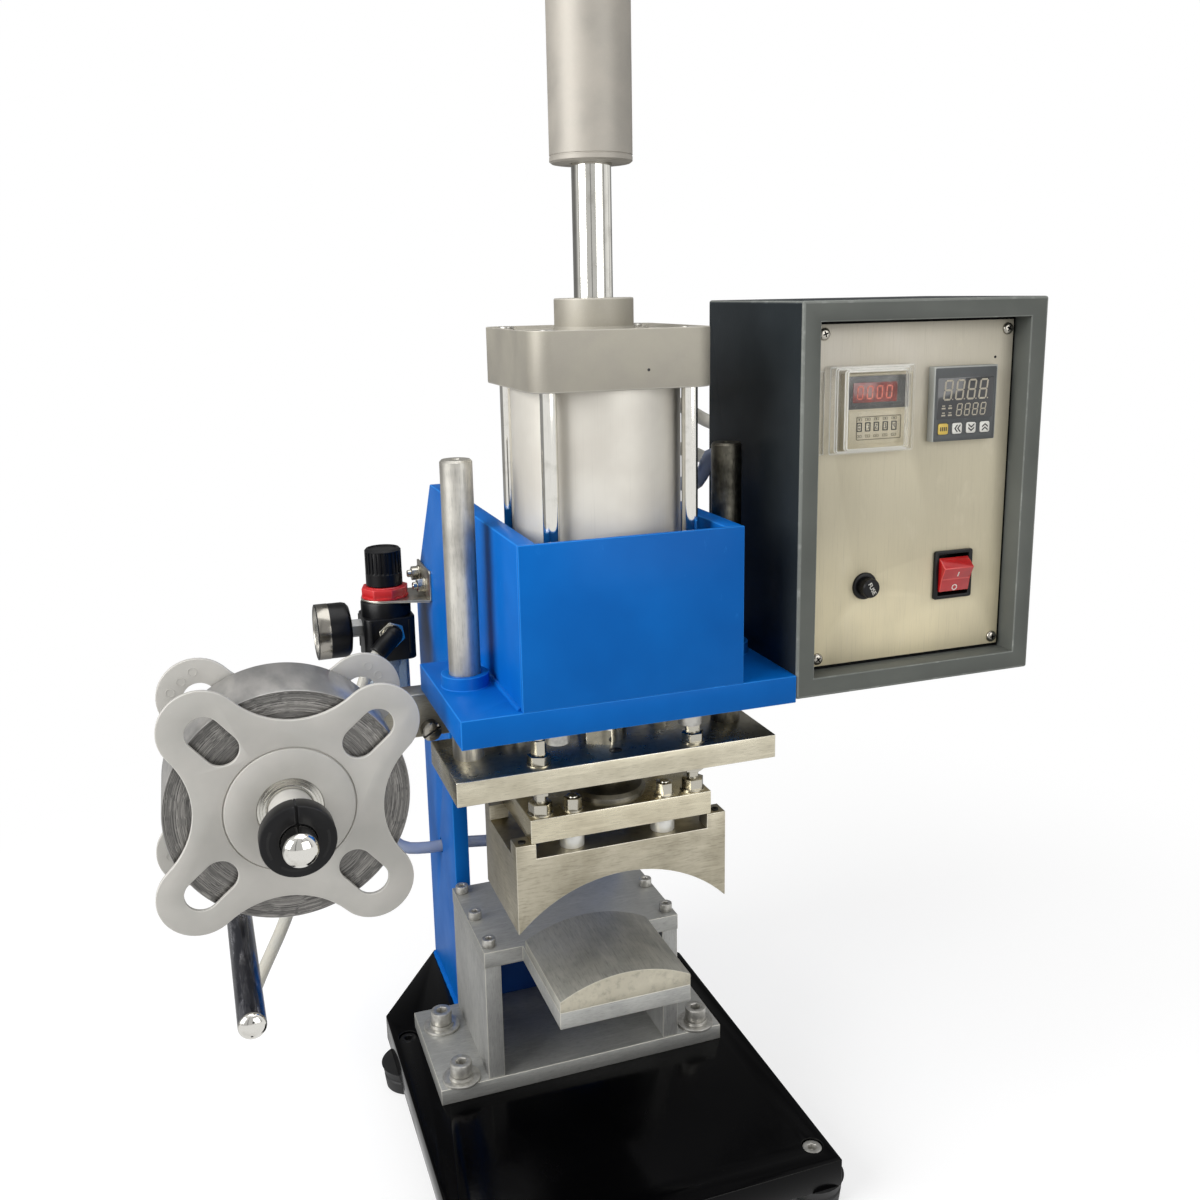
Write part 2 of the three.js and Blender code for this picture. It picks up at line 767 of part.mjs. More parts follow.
function cutout(x, z, wide, tall) {
  const halfWide = wide / 2 + panel.fit;
  const halfTall = tall / 2 + panel.fit;
  const [from, to] = [box.recess - overrun, panelBack + overrun];
  return block(x - halfWide, x + halfWide, from, to, z - halfTall, z + halfTall);
}

// The panel carries the fuse holder's barrel, which is open towards its cap.
function controlPanel() {
  const { fit } = panel;
  const sheet = block(openLeft + fit, openRight - fit, box.recess, panelBack, openLow + fit, openTop - fit);
  const cut = sheet
    .subtract(cutout(timerX, timerZ, meter.body, meter.body))
    .subtract(cutout(thermostatX, thermostatZ, meter.body, meter.body))
    .subtract(cutout(toggleX, toggleZ, toggle.bodyWide, toggle.bodyTall));
  const place = [fuseX, 0, fuseZ];
  const back = box.recess + fuse.deep;
  const rim = round("y", fuse.rim, box.recess - fuse.rimProud, panelBack, place, sides.medium);
  const barrel = round("y", fuse.barrel, box.recess, back, place, sides.medium);
  const stemHole = round("y", fuse.stem + gap, box.recess - overrun, back - fuse.floor, place, sides.small);
  return cut.add(rim).add(barrel).subtract(stemHole);
}

// A panel instrument: its bezel in front of the panel and its body behind.
function instrument(x, z, proud) {
  const face = meter.bezel / 2;
  const body = meter.body / 2;
  const bezel = block(x - face, x + face, box.recess - proud, box.recess, z - face, z + face);
  return bezel.add(block(x - body, x + body, box.recess, box.recess + meter.deep, z - body, z + body));
}

add("control_box", controlBox(), looks.boxGrey);
add("control_panel", controlPanel(), looks.panel);
add("timer_case", instrument(timerX, timerZ, timer.proud), looks.beige);

// Clear cover of the timer, open at its back, with a flat flap on its left
function timerCover() {
  const half = meter.bezel / 2;
  const back = box.recess - gap;
  const front = back - lid.deep;
  const room = timerX - half - openLeft;
  const [left, right] = [timerX - half - lid.leftShare * room, timerX + half + lid.right];
  const [low, high] = [timerZ - half - lid.under, timerZ + half + lid.over];
  const { wall } = lid;
  const inside = block(left + wall, right - wall, front + wall, back + overrun, low + wall, high - wall);
  const flapLow = timerZ - lid.flapTall / 2;
  const flap = block(left - lid.flapShare * room, left + wall, back - wall, back, flapLow, flapLow + lid.flapTall);
  return block(left, right, front, back, low, high).subtract(inside).add(flap);
}

add("timer_cover", timerCover(), looks.clear);

// Temperature controller with four keys that sink into their pockets
function keySolid(index, grow, front, back) {
  const x = thermostatX - meter.bezel / 2 + key.first + index * key.pitch;
  const z = thermostatZ - meter.bezel / 2 + key.rise;
  const halfWide = key.wide / 2 + grow;
  const halfTall = key.tall / 2 + grow;
  return block(x - halfWide, x + halfWide, front, back, z - halfTall, z + halfTall);
}

const keyNames = { key_mode: looks.yellow, key_left: looks.white, key_down: looks.white, key_up: looks.white };
const keyFace = box.recess - thermostat.proud;
let controller = instrument(thermostatX, thermostatZ, thermostat.proud);
Object.entries(keyNames).forEach(([name, look], index) => {
  const pocketBack = keyFace + key.deep + key.travel + gap;
  controller = controller.subtract(keySolid(index, gap, keyFace - overrun, pocketBack));
  add(name, keySolid(index, 0, keyFace - key.proud, keyFace + key.deep), look);
});
add("controller_case", controller, looks.black);

// Rocker switch in its bezel
function switchBezel() {
  const [halfWide, halfTall] = [toggle.wide / 2, toggle.tall / 2];
  const [bodyWide, bodyTall] = [toggle.bodyWide / 2, toggle.bodyTall / 2];
  const front = box.recess - toggle.proud;
  const back = box.recess + toggle.bodyDeep;
  const [holeWide, holeTall] = [bodyWide - toggle.wall, bodyTall - toggle.wall];
  const bezel = block(
    toggleX - halfWide,
    toggleX + halfWide,
    front,
    box.recess,
    toggleZ - halfTall,
    toggleZ + halfTall,
  );
  const body = block(
    toggleX - bodyWide,
    toggleX + bodyWide,
    box.recess,
    back,
    toggleZ - bodyTall,
    toggleZ + bodyTall,
  );
  const pocket = block(
    toggleX - holeWide,
    toggleX + holeWide,
    front - overrun,
    box.recess + toggle.pocketDeep,
    toggleZ - holeTall,
    toggleZ + holeTall,
  );
  return bezel.add(body).subtract(pocket);
}

// The rocker has a shallow V across its face, and at rest it leans with its upper end out.
function rocker() {
  const { reach, dip, edge, root, lean } = toggle;
  const corner = (degrees, radius) => {
    const angle = THREE.MathUtils.degToRad(degrees - lean);
    return [box.recess + toggle.pivot - radius * Math.cos(angle), toggleZ + radius * Math.sin(angle)];
  };
  const face = [corner(-edge, reach), corner(0, dip), corner(edge, reach)];
  const outline = [corner(-root, reach), ...face, corner(root, reach)];
  const halfWide = toggle.bodyWide / 2 - toggle.wall - gap;
  return pushed("x", polygon(outline), toggleX - halfWide, toggleX + halfWide);
}

add("switch_bezel", switchBezel(), looks.black);
add("switch_rocker", rocker(), looks.red);

// Fuse cap: a knurled head with a stem in the holder's barrel
function fuseCap() {
  const place = [fuseX, 0, fuseZ];
  const rimFront = box.recess - fuse.rimProud;
  const cap = round("y", fuse.cap, box.recess - fuse.proud, rimFront - gap, place, sides.small);
  const stemEnd = box.recess + fuse.deep - fuse.floor - gap;
  return cap.add(round("y", fuse.stem, rimFront - fuse.rimProud, stemEnd, place, sides.small));
}

add("fuse_cap", fuseCap(), looks.black);
add(
  "solenoid_valve",
  block(
    headHalf + box.wall,
    headHalf + box.wall + valve.wide,
    valve.front,
    valve.front + valve.deep,
    valve.height,
    valve.height + valve.tall,
  ),
  looks.aluminium,
);

// Filter-regulator on its bracket, with the gauge facing left
function regulatorBody() {
  const { half, corner, behind, top } = regulator;
  const [x, z] = [regulatorX, portZ];
  const outline = roundedRectangle(x - half, x + half, behind - half, behind + half, corner);
  const profile = [
    ...domed(regulator.bowlRadius, regulatorLow - regulator.bowlTall, regulator.bowlDome),
    [regulator.bowlRadius, top - corner],
    [regulator.neckRadius, top - corner],
    [regulator.neckRadius, ringLow],
    [regulator.ringRadius, ringLow],
    [regulator.ringRadius, ringTop],
    [0, ringTop],
  ];
  const front = behind - half;
  const back = behind + half;
  const elbow = regulator.elbowRadius;
  const { fittingRadius, fittingLong } = regulator;
  const nut = round("y", fittingRadius, front - fittingLong, front + overrun, [x, 0, z], sides.hex);
  const spigot = round("y", elbow, front - fittingLong - elbow, front, [x, 0, z], sides.tiny);
  const turn = [x, front - fittingLong - elbow / 2, z];
  const leg = strut(turn, elbowEnd, elbow, sides.tiny);
  const rear = round("y", elbow, back - overrun, rearElbowY + elbow, [x, 0, z], sides.tiny);
  const rearLeg = round("z", elbow, rearElbowEnd[2], z, [x, rearElbowY, 0], sides.tiny);
  return pushed("z", outline, regulatorLow, top)
    .add(turned("z", profile, [x, behind, 0], sides.medium))
    .add(nut)
    .add(spigot)
    .add(leg)
    .add(rear)
    .add(rearLeg);
}

function regulatorBracket() {
  const { half, front, thick, legTall } = bracket;
  const { behind, top, neckRadius } = regulator;
  const low = top + gap;
  const place = [regulatorX, behind, 0];
  const [ahead, back] = [behind - front, behind + half];
  const outline = [
    [regulatorX, behind - half],
    [-frameHalf, ahead],
    [-frameHalf, back],
    [regulatorX, back],
  ];
  const plate = pushed("z", polygon(outline), low, low + thick);
  const leg = block(-frameHalf - thick, -frameHalf, ahead, back, low, low + legTall);
  const shelf = plate.add(leg).add(round("z", half, low, low + thick, place, sides.medium));
  return bored(shelf, "z", neckRadius + gap, low, low + thick, place, sides.medium);
}

function pressureKnob() {
  const low = ringTop + gap;
  const profile = [
    [0, low],
    [knob.radius, low],
    [knob.radius, low + knob.tall - knob.chamfer],
    [knob.radius - knob.chamfer, low + knob.tall],
    [0, low + knob.tall],
  ];
  return turned("z", profile, [regulatorX, regulator.behind, 0], sides.medium);
}

const gaugeBack = regulatorX - regulator.half - gauge.stemLong;
const gaugeFront = gaugeBack - gauge.long;
const dialFace = gaugeFront + gauge.dish;
function gaugeCase() {
  const place = [0, regulator.behind, gaugeZ];
  const can = round("x", gauge.radius, gaugeFront, gaugeBack, place, sides.large);
  const dish = round("x", gauge.radius - gauge.rim, gaugeFront - overrun, dialFace, place, sides.large);
  const stem = round("x", gauge.stemRadius, gaugeBack, regulatorX - regulator.half, place, sides.tiny);
  return can.subtract(dish).add(stem);
}

// At zero pressure the needle points down and to the left of the dial.
function gaugeNeedle() {
  const hubBack = dialFace - gap;
  const hubFront = hubBack - needle.hubTall;
  const middle = [0, regulator.behind, gaugeZ];
  const lean = THREE.MathUtils.degToRad(needle.restDegrees);
  const [y, z] = [Math.sin(lean), -Math.cos(lean)];
  const half = needle.wide / 2;
  const corner = (ahead, aside) => [middle[1] + ahead * y + aside * z, middle[2] + ahead * z - aside * y];
  const outline = [
    corner(needle.long, half),
    corner(needle.long, -half),
    corner(-needle.tail, -half),
    corner(-needle.tail, half),
  ];
  const pointer = pushed("x", polygon(outline), hubFront, hubFront + needle.thick);
  return round("x", needle.hubRadius, hubFront, hubBack, middle, sides.tiny).add(pointer);
}

add("regulator_bracket", regulatorBracket(), looks.steel);
add("regulator_body", regulatorBody(), looks.black);
add("regulator_knob", pressureKnob(), looks.black);
add("gauge_case", gaugeCase(), looks.black);
add("gauge_needle", gaugeNeedle(), looks.black);

// Foil unwinder: arm, shaft, two four-lobed flanges, the roll between them and the split collar
const lobeAngles = Array.from({ length: reel.lobes }, (_, i) => {
  return THREE.MathUtils.degToRad(reel.firstLobe) + (2 * Math.PI * i) / reel.lobes;
});

function reelPoint(angle, out) {
  return [reelX + out * Math.cos(angle), reelZ + out * Math.sin(angle)];
}

function lobedOutline() {
  const { lobes, orbit, lobeRadius, waist } = reel;
  const step = Math.PI / lobes;
  const inward = orbit * Math.cos(step);
  const square = waist * waist + orbit * orbit - lobeRadius * lobeRadius - 2 * waist * inward;
  const hollow = square / (2 * (lobeRadius + inward - waist));
  const shape = new THREE.Shape();
  for (const angle of lobeAngles) {
    const [x, z] = reelPoint(angle, orbit);
    const middle = angle + step;
    const [hollowX, hollowZ] = reelPoint(middle, waist + hollow);
    const turn = Math.atan2(hollowZ - z, hollowX - x);
    const tilt = Math.atan2(Math.sin(turn - middle), Math.cos(turn - middle));
    shape.absarc(x, z, lobeRadius, 2 * angle - middle - tilt, middle + tilt, false);
    shape.absarc(hollowX, hollowZ, hollow, middle + Math.PI + tilt, middle + Math.PI - tilt, true);
  }
  for (const angle of lobeAngles) {
    const slot = new THREE.Path();
    const quarter = Math.PI / 2;
    slot.absarc(...reelPoint(angle, reel.slotOut), reel.slotRadius, angle - quarter, angle + quarter);
    slot.absarc(...reelPoint(angle, reel.slotIn), reel.slotRadius, angle + quarter, angle + 3 * quarter);
    shape.holes.push(slot);
  }
  return shape;
}

// One flange: lobed plate, raised disc and bush outside, plug for the roll's core inside.
function reelFlange(outer, way, bushEnd) {
  const inner = outer + way * reel.thick;
  const place = [reelX, 0, reelZ];
  const between = (radius, a, b) => round("y", radius, Math.min(a, b), Math.max(a, b), place, sides.medium);
  const plate = pushed("y", lobedOutline(), Math.min(outer, inner), Math.max(outer, inner));
  const disc = between(reel.discRadius, outer - way * reel.discTall, inner);
  const bush = between(reel.bushRadius, bushEnd, inner);
  const plug = between(reel.bushRadius, inner, inner + way * reel.plugLong);
  const whole = plate.add(disc).add(bush).add(plug);
  const far = [bushEnd, inner + way * reel.plugLong];
  return bored(whole, "y", shaft.radius + gap, Math.min(...far), Math.max(...far), place, sides.medium);
}

function foilRoll() {
  const place = [reelX, 0, reelZ];
  const from = reel.front + reel.thick + reel.rollGap;
  const to = rearDisc - reel.rollGap;
  const roll = round("y", reel.rollRadius, from, to, place, sides.barrel);
  return bored(roll, "y", reel.bushRadius + gap, from, to, place, sides.medium);
}

function reelShaft() {
  const tip = reel.front - shaft.ahead;
  const end = armRear + shaft.nutTall;
  const profile = [
    ...domed(shaft.radius, tip, shaft.dome),
    [shaft.radius, arm.front],
    [shaft.tenon, arm.front],
    [shaft.tenon, end],
    [0, end],
  ];
  const place = [reelX, 0, reelZ];
  const nut = round("y", shaft.nutRadius, armRear, end, place, sides.hex);
  return turned("y", profile, place, sides.medium).add(nut);
}

function shaftCollar() {
  const place = [reelX, 0, reelZ];
  const ring = round("y", clamp.radius, clampFront, clampRear, place, sides.large);
  const half = clamp.slit / 2;
  const slit = block(
    reelX - half,
    reelX + half,
    clampFront - overrun,
    clampRear + overrun,
    reelZ,
    reelZ + clamp.radius + overrun,
  );
  return bored(ring, "y", shaft.radius + gap, clampFront, clampRear, place, sides.medium).subtract(slit);
}

// The arm is bolted up under the frame and carries the shaft, a slotted pin and the hanger of the lower bar.
function foilArm() {
  const right = arm.rootIn - innerHalf;
  const rootLow = headLow - arm.rootTall;
  const outer = reelX - arm.eyeOut;
  const outline = [
    [right, headLow],
    [right, rootLow],
    [reelX + arm.elbowIn, rootLow],
    [reelX + arm.elbowOut, reelZ - arm.eyeHalf],
    [outer, reelZ - arm.eyeHalf],
    [outer, reelZ + arm.eyeHalf],
    [reelX + arm.shoulder, headLow],
  ];
  const slope = Math.atan2(reelZ - barZ, outer + arm.hangerHalf - barX);
  const [leanX, leanZ] = [arm.hangerHalf * Math.sin(slope), arm.hangerHalf * Math.cos(slope)];
  const hanger = [
    [barX - leanX, barZ + leanZ],
    [barX + leanX, barZ - leanZ],
    [outer + arm.hangerHalf + leanX, reelZ - leanZ],
    [outer + arm.hangerHalf - leanX, reelZ + leanZ],
  ];
  const hangerFront = armRear - arm.hangerDeep;
  const pinPlace = [reelX + arm.pinIn, 0, rootLow + arm.pinUp];
  const body = pushed("y", polygon(outline), arm.front, armRear)
    .add(pushed("y", polygon(hanger), hangerFront, armRear))
    .add(round("y", arm.hangerHalf, hangerFront, armRear, [barX, 0, barZ], sides.small))
    .add(round("y", arm.pinRadius, arm.front - arm.pinProud, armRear, pinPlace, sides.small));
  return bored(body, "y", shaft.tenon + gap, arm.front, armRear, [reelX, 0, reelZ], sides.medium);
}

function lowerBar() {
  const end = armRear - arm.hangerDeep;
  const profile = [...domed(bar.radius, reel.front - bar.ahead, bar.dome), [bar.radius, end], [0, end]];
  return turned("y", profile, [barX, 0, barZ], sides.small);
}

add("foil_arm", foilArm(), looks.steel);
add("reel_shaft", reelShaft(), looks.chrome);
add("reel_flange_front", reelFlange(reel.front, 1, clampRear + gap), looks.reel);
add("reel_flange_rear", reelFlange(rearDisc + reel.thick, -1, arm.front - gap), looks.reel);
add("foil_roll", foilRoll(), looks.foil);
add("shaft_collar", shaftCollar(), looks.black);
add("lower_guide_bar", lowerBar(), looks.chrome);

// Air hoses, each a list of steps measured from the fitting, hole or edge that it passes
function placed(anchor, steps) {
  return steps.map((step) => step.map((length, i) => anchor[i] + length));
}

const capRear = axisY + cylinder.cap / 2;
const valveRear = valve.front + valve.deep;
const supplyRoute = placed(elbowEnd, route.fromElbow);
const valveRoute = [
  ...placed(rearElbowEnd, route.fromRearElbow),
  ...placed([-frameHalf, holeBack, -frame.holeDown], route.throughHole),
  ...placed([frameHalf, frame.slopeStart, frame.boxTall], route.overPlate),
  ...placed([headHalf, valveMiddle, valve.inlet], route.toInlet),
];
const lowerPortRoute = [
  ...placed([cylinder.portOff, capRear, cylinder.capTall / 2], route.fromLowCap),
  ...placed([valveX, valveRear, valve.lowPort], route.toLowPort),
];
const upperPortRoute = [
  ...placed([cylinder.portOff, capRear, barrelTop + cylinder.capTall / 2], route.fromHighCap),
  ...placed([valveX, valveRear, valve.highPort], route.toHighPort),
];
add("supply_hose", hosed(supplyRoute), looks.clear);
add("valve_hose", hosed(valveRoute), looks.clear);
add("lower_port_hose", hosed(lowerPortRoute), looks.black);
add("upper_port_hose", hosed(upperPortRoute), looks.black);

// Stands the machine on its feet with the origin under the middle of its outer box.
const bounds = new THREE.Box3().setFromObject(machine);
const centre = bounds.getCenter(new THREE.Vector3());
machine.position.set(-centre.x, -centre.y, -bounds.min.z);

export default machine;
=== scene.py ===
import math

import bmesh
import bpy
from mathutils import Matrix, Vector


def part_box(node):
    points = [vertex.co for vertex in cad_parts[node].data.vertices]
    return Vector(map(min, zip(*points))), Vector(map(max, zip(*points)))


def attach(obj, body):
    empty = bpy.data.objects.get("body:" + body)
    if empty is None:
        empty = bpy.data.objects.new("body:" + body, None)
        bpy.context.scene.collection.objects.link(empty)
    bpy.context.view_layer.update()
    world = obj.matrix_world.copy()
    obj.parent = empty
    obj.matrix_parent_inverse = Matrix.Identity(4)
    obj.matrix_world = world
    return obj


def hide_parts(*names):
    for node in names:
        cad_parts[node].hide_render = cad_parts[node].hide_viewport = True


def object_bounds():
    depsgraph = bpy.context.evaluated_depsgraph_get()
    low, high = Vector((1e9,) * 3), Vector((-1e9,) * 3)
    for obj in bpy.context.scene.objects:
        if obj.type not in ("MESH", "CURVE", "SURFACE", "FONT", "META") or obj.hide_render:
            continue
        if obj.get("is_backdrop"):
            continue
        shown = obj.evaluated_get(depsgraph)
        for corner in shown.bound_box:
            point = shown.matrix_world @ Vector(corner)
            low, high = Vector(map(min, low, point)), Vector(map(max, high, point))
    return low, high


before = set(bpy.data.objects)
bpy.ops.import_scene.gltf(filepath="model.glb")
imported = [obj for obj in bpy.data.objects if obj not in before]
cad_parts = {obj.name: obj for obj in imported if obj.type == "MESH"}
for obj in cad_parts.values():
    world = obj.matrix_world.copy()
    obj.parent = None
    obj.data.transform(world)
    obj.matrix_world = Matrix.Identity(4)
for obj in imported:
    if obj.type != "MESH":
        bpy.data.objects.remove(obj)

cad_low, cad_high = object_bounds()

# Camera. The machine stands on a bench a little below eye level and is seen from its left front.
# Every place in this file is in millimetres from the middle of the head plate's front top edge:
# X to the operator's right, Y away from the operator, Z up.
plate_low, plate_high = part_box("head_plate")
datum = Vector(((plate_low.x + plate_high.x) / 2, plate_low.y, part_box("front_panel")[0].z))


def at(x, y, z):
    """A place in the scene, in metres, from its millimetres."""
    return datum + Vector((x, y, z)) / 1000


yaw, pitch, roll = math.radians(19.764), math.radians(12.579), math.radians(-0.963)
ahead = Vector((math.sin(yaw) * math.cos(pitch), math.cos(yaw) * math.cos(pitch), -math.sin(pitch)))
level = Vector((math.cos(yaw), -math.sin(yaw), 0))
above = level.cross(ahead)
right = level * math.cos(roll) + above * math.sin(roll)
upright = above * math.cos(roll) - level * math.sin(roll)
sensor, focal, frame_side = 36, 1194.33, 1200
lens = bpy.data.cameras.new("camera")
lens.sensor_width = sensor
lens.lens = sensor * focal / frame_side
lens.shift_x = -8.9 / frame_side
lens.shift_y = -42.9 / frame_side
lens.clip_end = 60
eye = at(-247.12, -641.8, 241.1)
stance = Matrix((right, upright, -ahead)).transposed().to_4x4()
camera = bpy.data.objects.new("camera", lens)
camera.matrix_world = Matrix.Translation(eye) @ stance
bpy.context.scene.collection.objects.link(camera)
bpy.context.scene.camera = camera
bpy.context.scene.view_settings.view_transform = "Standard"


# Studio. A white floor and a white surround, two wide soft lamps in front and one overhead. Bright metal
# mirrors a plainer room: lighter in front, dark behind the machine, with a few dark upright stands.
class Value:
    """One output of a node. Arithmetic on it adds Math nodes to the same tree."""

    def __init__(self, nodes, socket):
        self.nodes, self.socket = nodes, socket

    def math(self, operation, *terms):
        return self.nodes.node("Math", {"operation": operation}, dict(enumerate(terms)))

    def __add__(self, other):
        return self.math("ADD", self, other)

    def __sub__(self, other):
        return self.math("SUBTRACT", self, other)

    def __rsub__(self, other):
        return self.math("SUBTRACT", other, self)

    def __mul__(self, other):
        return self.math("MULTIPLY", self, other)

    def __truediv__(self, other):
        return self.math("DIVIDE", self, other)

    __radd__, __rmul__ = __add__, __mul__

    def most(self, other):
        return self.math("MAXIMUM", self, other)

    def between(self, low, high, soft=True):
        """0 below low, 1 above high, and a rise between them."""
        kind = {"interpolation_type": "SMOOTHSTEP" if soft else "LINEAR", "clamp": True}
        return self.nodes.node("MapRange", kind, {"Value": self, "From Min": low, "From Max": high})


class Nodes:
    def __init__(self, tree):
        self.tree = tree
        tree.nodes.clear()

    def node(self, kind, settings=None, sockets=None, output=0):
        """Adds a node: its type, its settings, then its sockets, and gives the outputs asked for."""
        made = self.tree.nodes.new("ShaderNode" + kind)
        for key, value in (settings or {}).items():
            setattr(made, key, value)
        for key, value in (sockets or {}).items():
            if isinstance(value, Value):
                self.tree.links.new(value.socket, made.inputs[key])
            elif isinstance(value, tuple) and made.inputs[key].type == "RGBA":
                made.inputs[key].default_value = (*value, 1)
            else:
                made.inputs[key].default_value = value
        if isinstance(output, tuple):
            return tuple(Value(self, made.outputs[key]) for key in output)
        return Value(self, made.outputs[output]) if len(made.outputs) else made

    def split(self, vector):
        """The X, Y and Z of a vector."""
        return self.node("SeparateXYZ", {}, {0: vector}, ("X", "Y", "Z"))

    def rays(self):
        """Whether a ray is the camera's, a mirrored one or one that came through clear plastic."""
        return self.node("LightPath", output=("Is Camera Ray", "Is Glossy Ray", "Is Transmission Ray"))

    def blend(self, share, first, second):
        """One colour turning into another as share goes from 0 to 1."""
        return self.node("Mix", {"data_type": "RGBA"}, {0: share, 6: first, 7: second}, 2)


def lamp(name, place, aim, side, power):
    """A square soft lamp turned to its aim."""
    light = bpy.data.lights.new(name, "AREA")
    light.size, light.energy = side, power
    made = bpy.data.objects.new(name, light)
    made.matrix_world = Matrix.Translation(place) @ (aim - place).to_track_quat("-Z", "Y").to_matrix().to_4x4()
    bpy.context.scene.collection.objects.link(made)


middle = at(0, 60, 0)
lamp("left_lamp", at(-1900, -450, 900), middle, 1.5, 46)
lamp("front_lamp", at(900, -1900, 700), middle, 1.6, 19)
lamp("top_lamp", at(100, 200, 1900), middle, 1.8, 18)

world = bpy.data.worlds.new("surround")
world.use_nodes = True
bpy.context.scene.world = world
room = Nodes(world.node_tree)
seen, mirrored, through = room.rays()
aimed = room.node("TexCoord", output="Generated")
aside, away, _ = room.split(aimed)
bearing = aside.math("ARCTAN2", aside, away)
stands = bearing.math("SINE", bearing * 9 + 0.9)
glow = 0.60 + 0.34 * away.between(-0.75, -0.1) - 0.74 * away.between(0.2, 0.7)
glow = glow * (1 - 0.6 * stands.between(0.86, 0.96))
strength = (0.16 + 0.84 * seen.most(through)).most(mirrored * glow)
backing = room.node("Background", {}, {"Color": (1, 1, 1), "Strength": strength})
room.node("OutputWorld", {}, {"Surface": backing})

floor_mesh = bmesh.new()
bmesh.ops.create_grid(floor_mesh, x_segments=1, y_segments=1, size=12)
floor_data = bpy.data.meshes.new("floor")
floor_mesh.to_mesh(floor_data)
floor_mesh.free()
floor = bpy.data.objects.new("floor", floor_data)
floor.location.z = cad_low.z - 0.0002
bpy.context.scene.collection.objects.link(floor)
floor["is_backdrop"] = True
floor_paint = bpy.data.materials.new("floor")
floor_paint.use_nodes = True
floor_data.materials.append(floor_paint)
ground = Nodes(floor_paint.node_tree)
seen, mirrored, through = ground.rays()
lit = ground.node("BsdfDiffuse", {}, {"Color": (0.42, 0.42, 0.42)})
shine = ground.node("Emission", {}, {"Color": (1, 1, 1), "Strength": 0.68})
both = ground.node("AddShader", {}, {0: lit, 1: shine})
bright_floor = ground.node("Emission", {}, {"Color": (1, 1, 1), "Strength": 1})
spot = ground.node("TexCoord", output="Object")
spread = ground.node("VectorMath", {"operation": "LENGTH"}, {0: spot}, "Value")
_, back, _ = ground.split(spot)
faded = ground.node("MixShader", {}, {0: spread.between(0.35, 0.9), 1: both, 2: bright_floor})
plain = ground.node("BsdfDiffuse", {}, {"Color": (0.5, 0.5, 0.49)})
dim_floor = ground.node("Emission", {}, {"Color": (1, 1, 1), "Strength": 0.95 - 0.62 * back.between(-0.1, 0.4)})
reflected = ground.node("MixShader", {}, {0: mirrored, 1: plain, 2: dim_floor})
shown = seen.most(through)
ground.node("OutputMaterial", {}, {"Surface": ground.node("MixShader", {}, {0: shown, 1: reflected, 2: faded})})


# Supply hose: clear polyurethane tube, 9.6 mm thick, pushed into the regulator's elbow.
# It hangs down behind the foil reel and has a bare end.
class Finish(Nodes):
    """A material under construction. Its patterns lie in the object's own space, in millimetres."""

    def __init__(self, name):
        self.material = bpy.data.materials.new(name)
        self.material.use_nodes = True
        super().__init__(self.material.node_tree)
        where = self.node("TexCoord", output="Object")
        self.place = self.node("VectorMath", {"operation": "SCALE"}, {0: where, "Scale": 1000})

    def stretched(self, scale):
        return self.node("VectorMath", {"operation": "DIVIDE"}, {0: self.place, 1: Vector(scale)})

    def noise(self, size, detail=3, rough=0.55, stretch=(1, 1, 1), wander=0):
        """Soft random values about size millimetres across, drawn out along an axis by stretch."""
        spread = self.stretched([size * way for way in stretch])
        sockets = {"Vector": spread, "Scale": 1, "Detail": detail, "Roughness": rough, "Distortion": wander}
        return self.node("TexNoise", {}, sockets)

    def edge_wear_and_highlight(self):
        """1 on the eased edges of a piece and 0 elsewhere."""
        return self.node("Attribute", {"attribute_name": "edge_wear_and_highlight"}, {}, "Fac")

    def bump(self, height, depth, under=None):
        sockets = {"Height": height, "Strength": 1, "Distance": depth / 1000}
        if under:
            sockets["Normal"] = under
        return self.node("Bump", {}, sockets)

    def close(self, colour, rough, metal=0, **more):
        names = {key.replace("_", " ").title().replace("Ior", "IOR"): value for key, value in more.items()}
        sockets = {"Base Color": colour, "Roughness": rough, "Metallic": metal, **names}
        coat = self.node("BsdfPrincipled", {}, sockets)
        self.node("OutputMaterial", {}, {"Surface": coat})
        return self.material


def tint(red, green, blue):
    """A colour read from 0 to 255, as light."""
    return tuple(((c / 255 + 0.055) / 1.055) ** 2.4 if c > 10 else c / 255 / 12.92 for c in (red, green, blue))


def flowing(points, pitch):
    """Points in millimetres along a smooth line through the given ones."""
    spots = [Vector(point) for point in points]
    spots = [2 * spots[0] - spots[1], *spots, 2 * spots[-1] - spots[-2]]
    made = []
    for a, b, c, d in zip(spots, spots[1:], spots[2:], spots[3:]):
        t = [0.0]
        for near, far in ((a, b), (b, c), (c, d)):
            t.append(t[-1] + max((far - near).length ** 0.5, 1e-4))
        count = max(1, round((c - b).length / pitch))
        for step in range(count):
            u = t[1] + (t[2] - t[1]) * step / count
            ab = a.lerp(b, u / t[1])
            bc = b.lerp(c, (u - t[1]) / (t[2] - t[1]))
            cd = c.lerp(d, (u - t[2]) / (t[3] - t[2]))
            low = ab.lerp(bc, u / t[2])
            high = bc.lerp(cd, (u - t[1]) / (t[3] - t[1]))
            made.append(low.lerp(high, (u - t[1]) / (t[2] - t[1])))
    return [*made, spots[-2]]


def hose(name, points, pitch, material, node):
    """A round tube along a smooth line, and the places that its line passes."""
    line = bpy.data.curves.new(name, "CURVE")
    line.dimensions = "3D"
    line.bevel_depth = 0.0048
    line.bevel_resolution = 6
    line.use_fill_caps = True
    spline = line.splines.new("POLY")
    places = [at(*point) for point in flowing(points, pitch)]
    spline.points.add(len(places) - 1)
    for spot, place in zip(spline.points, places):
        spot.co = (*place, 1)
    line.materials.append(material)
    made = bpy.data.objects.new(name, line)
    bpy.context.scene.collection.objects.link(made)
    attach(made, "machine")
    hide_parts(node)
    return made, places


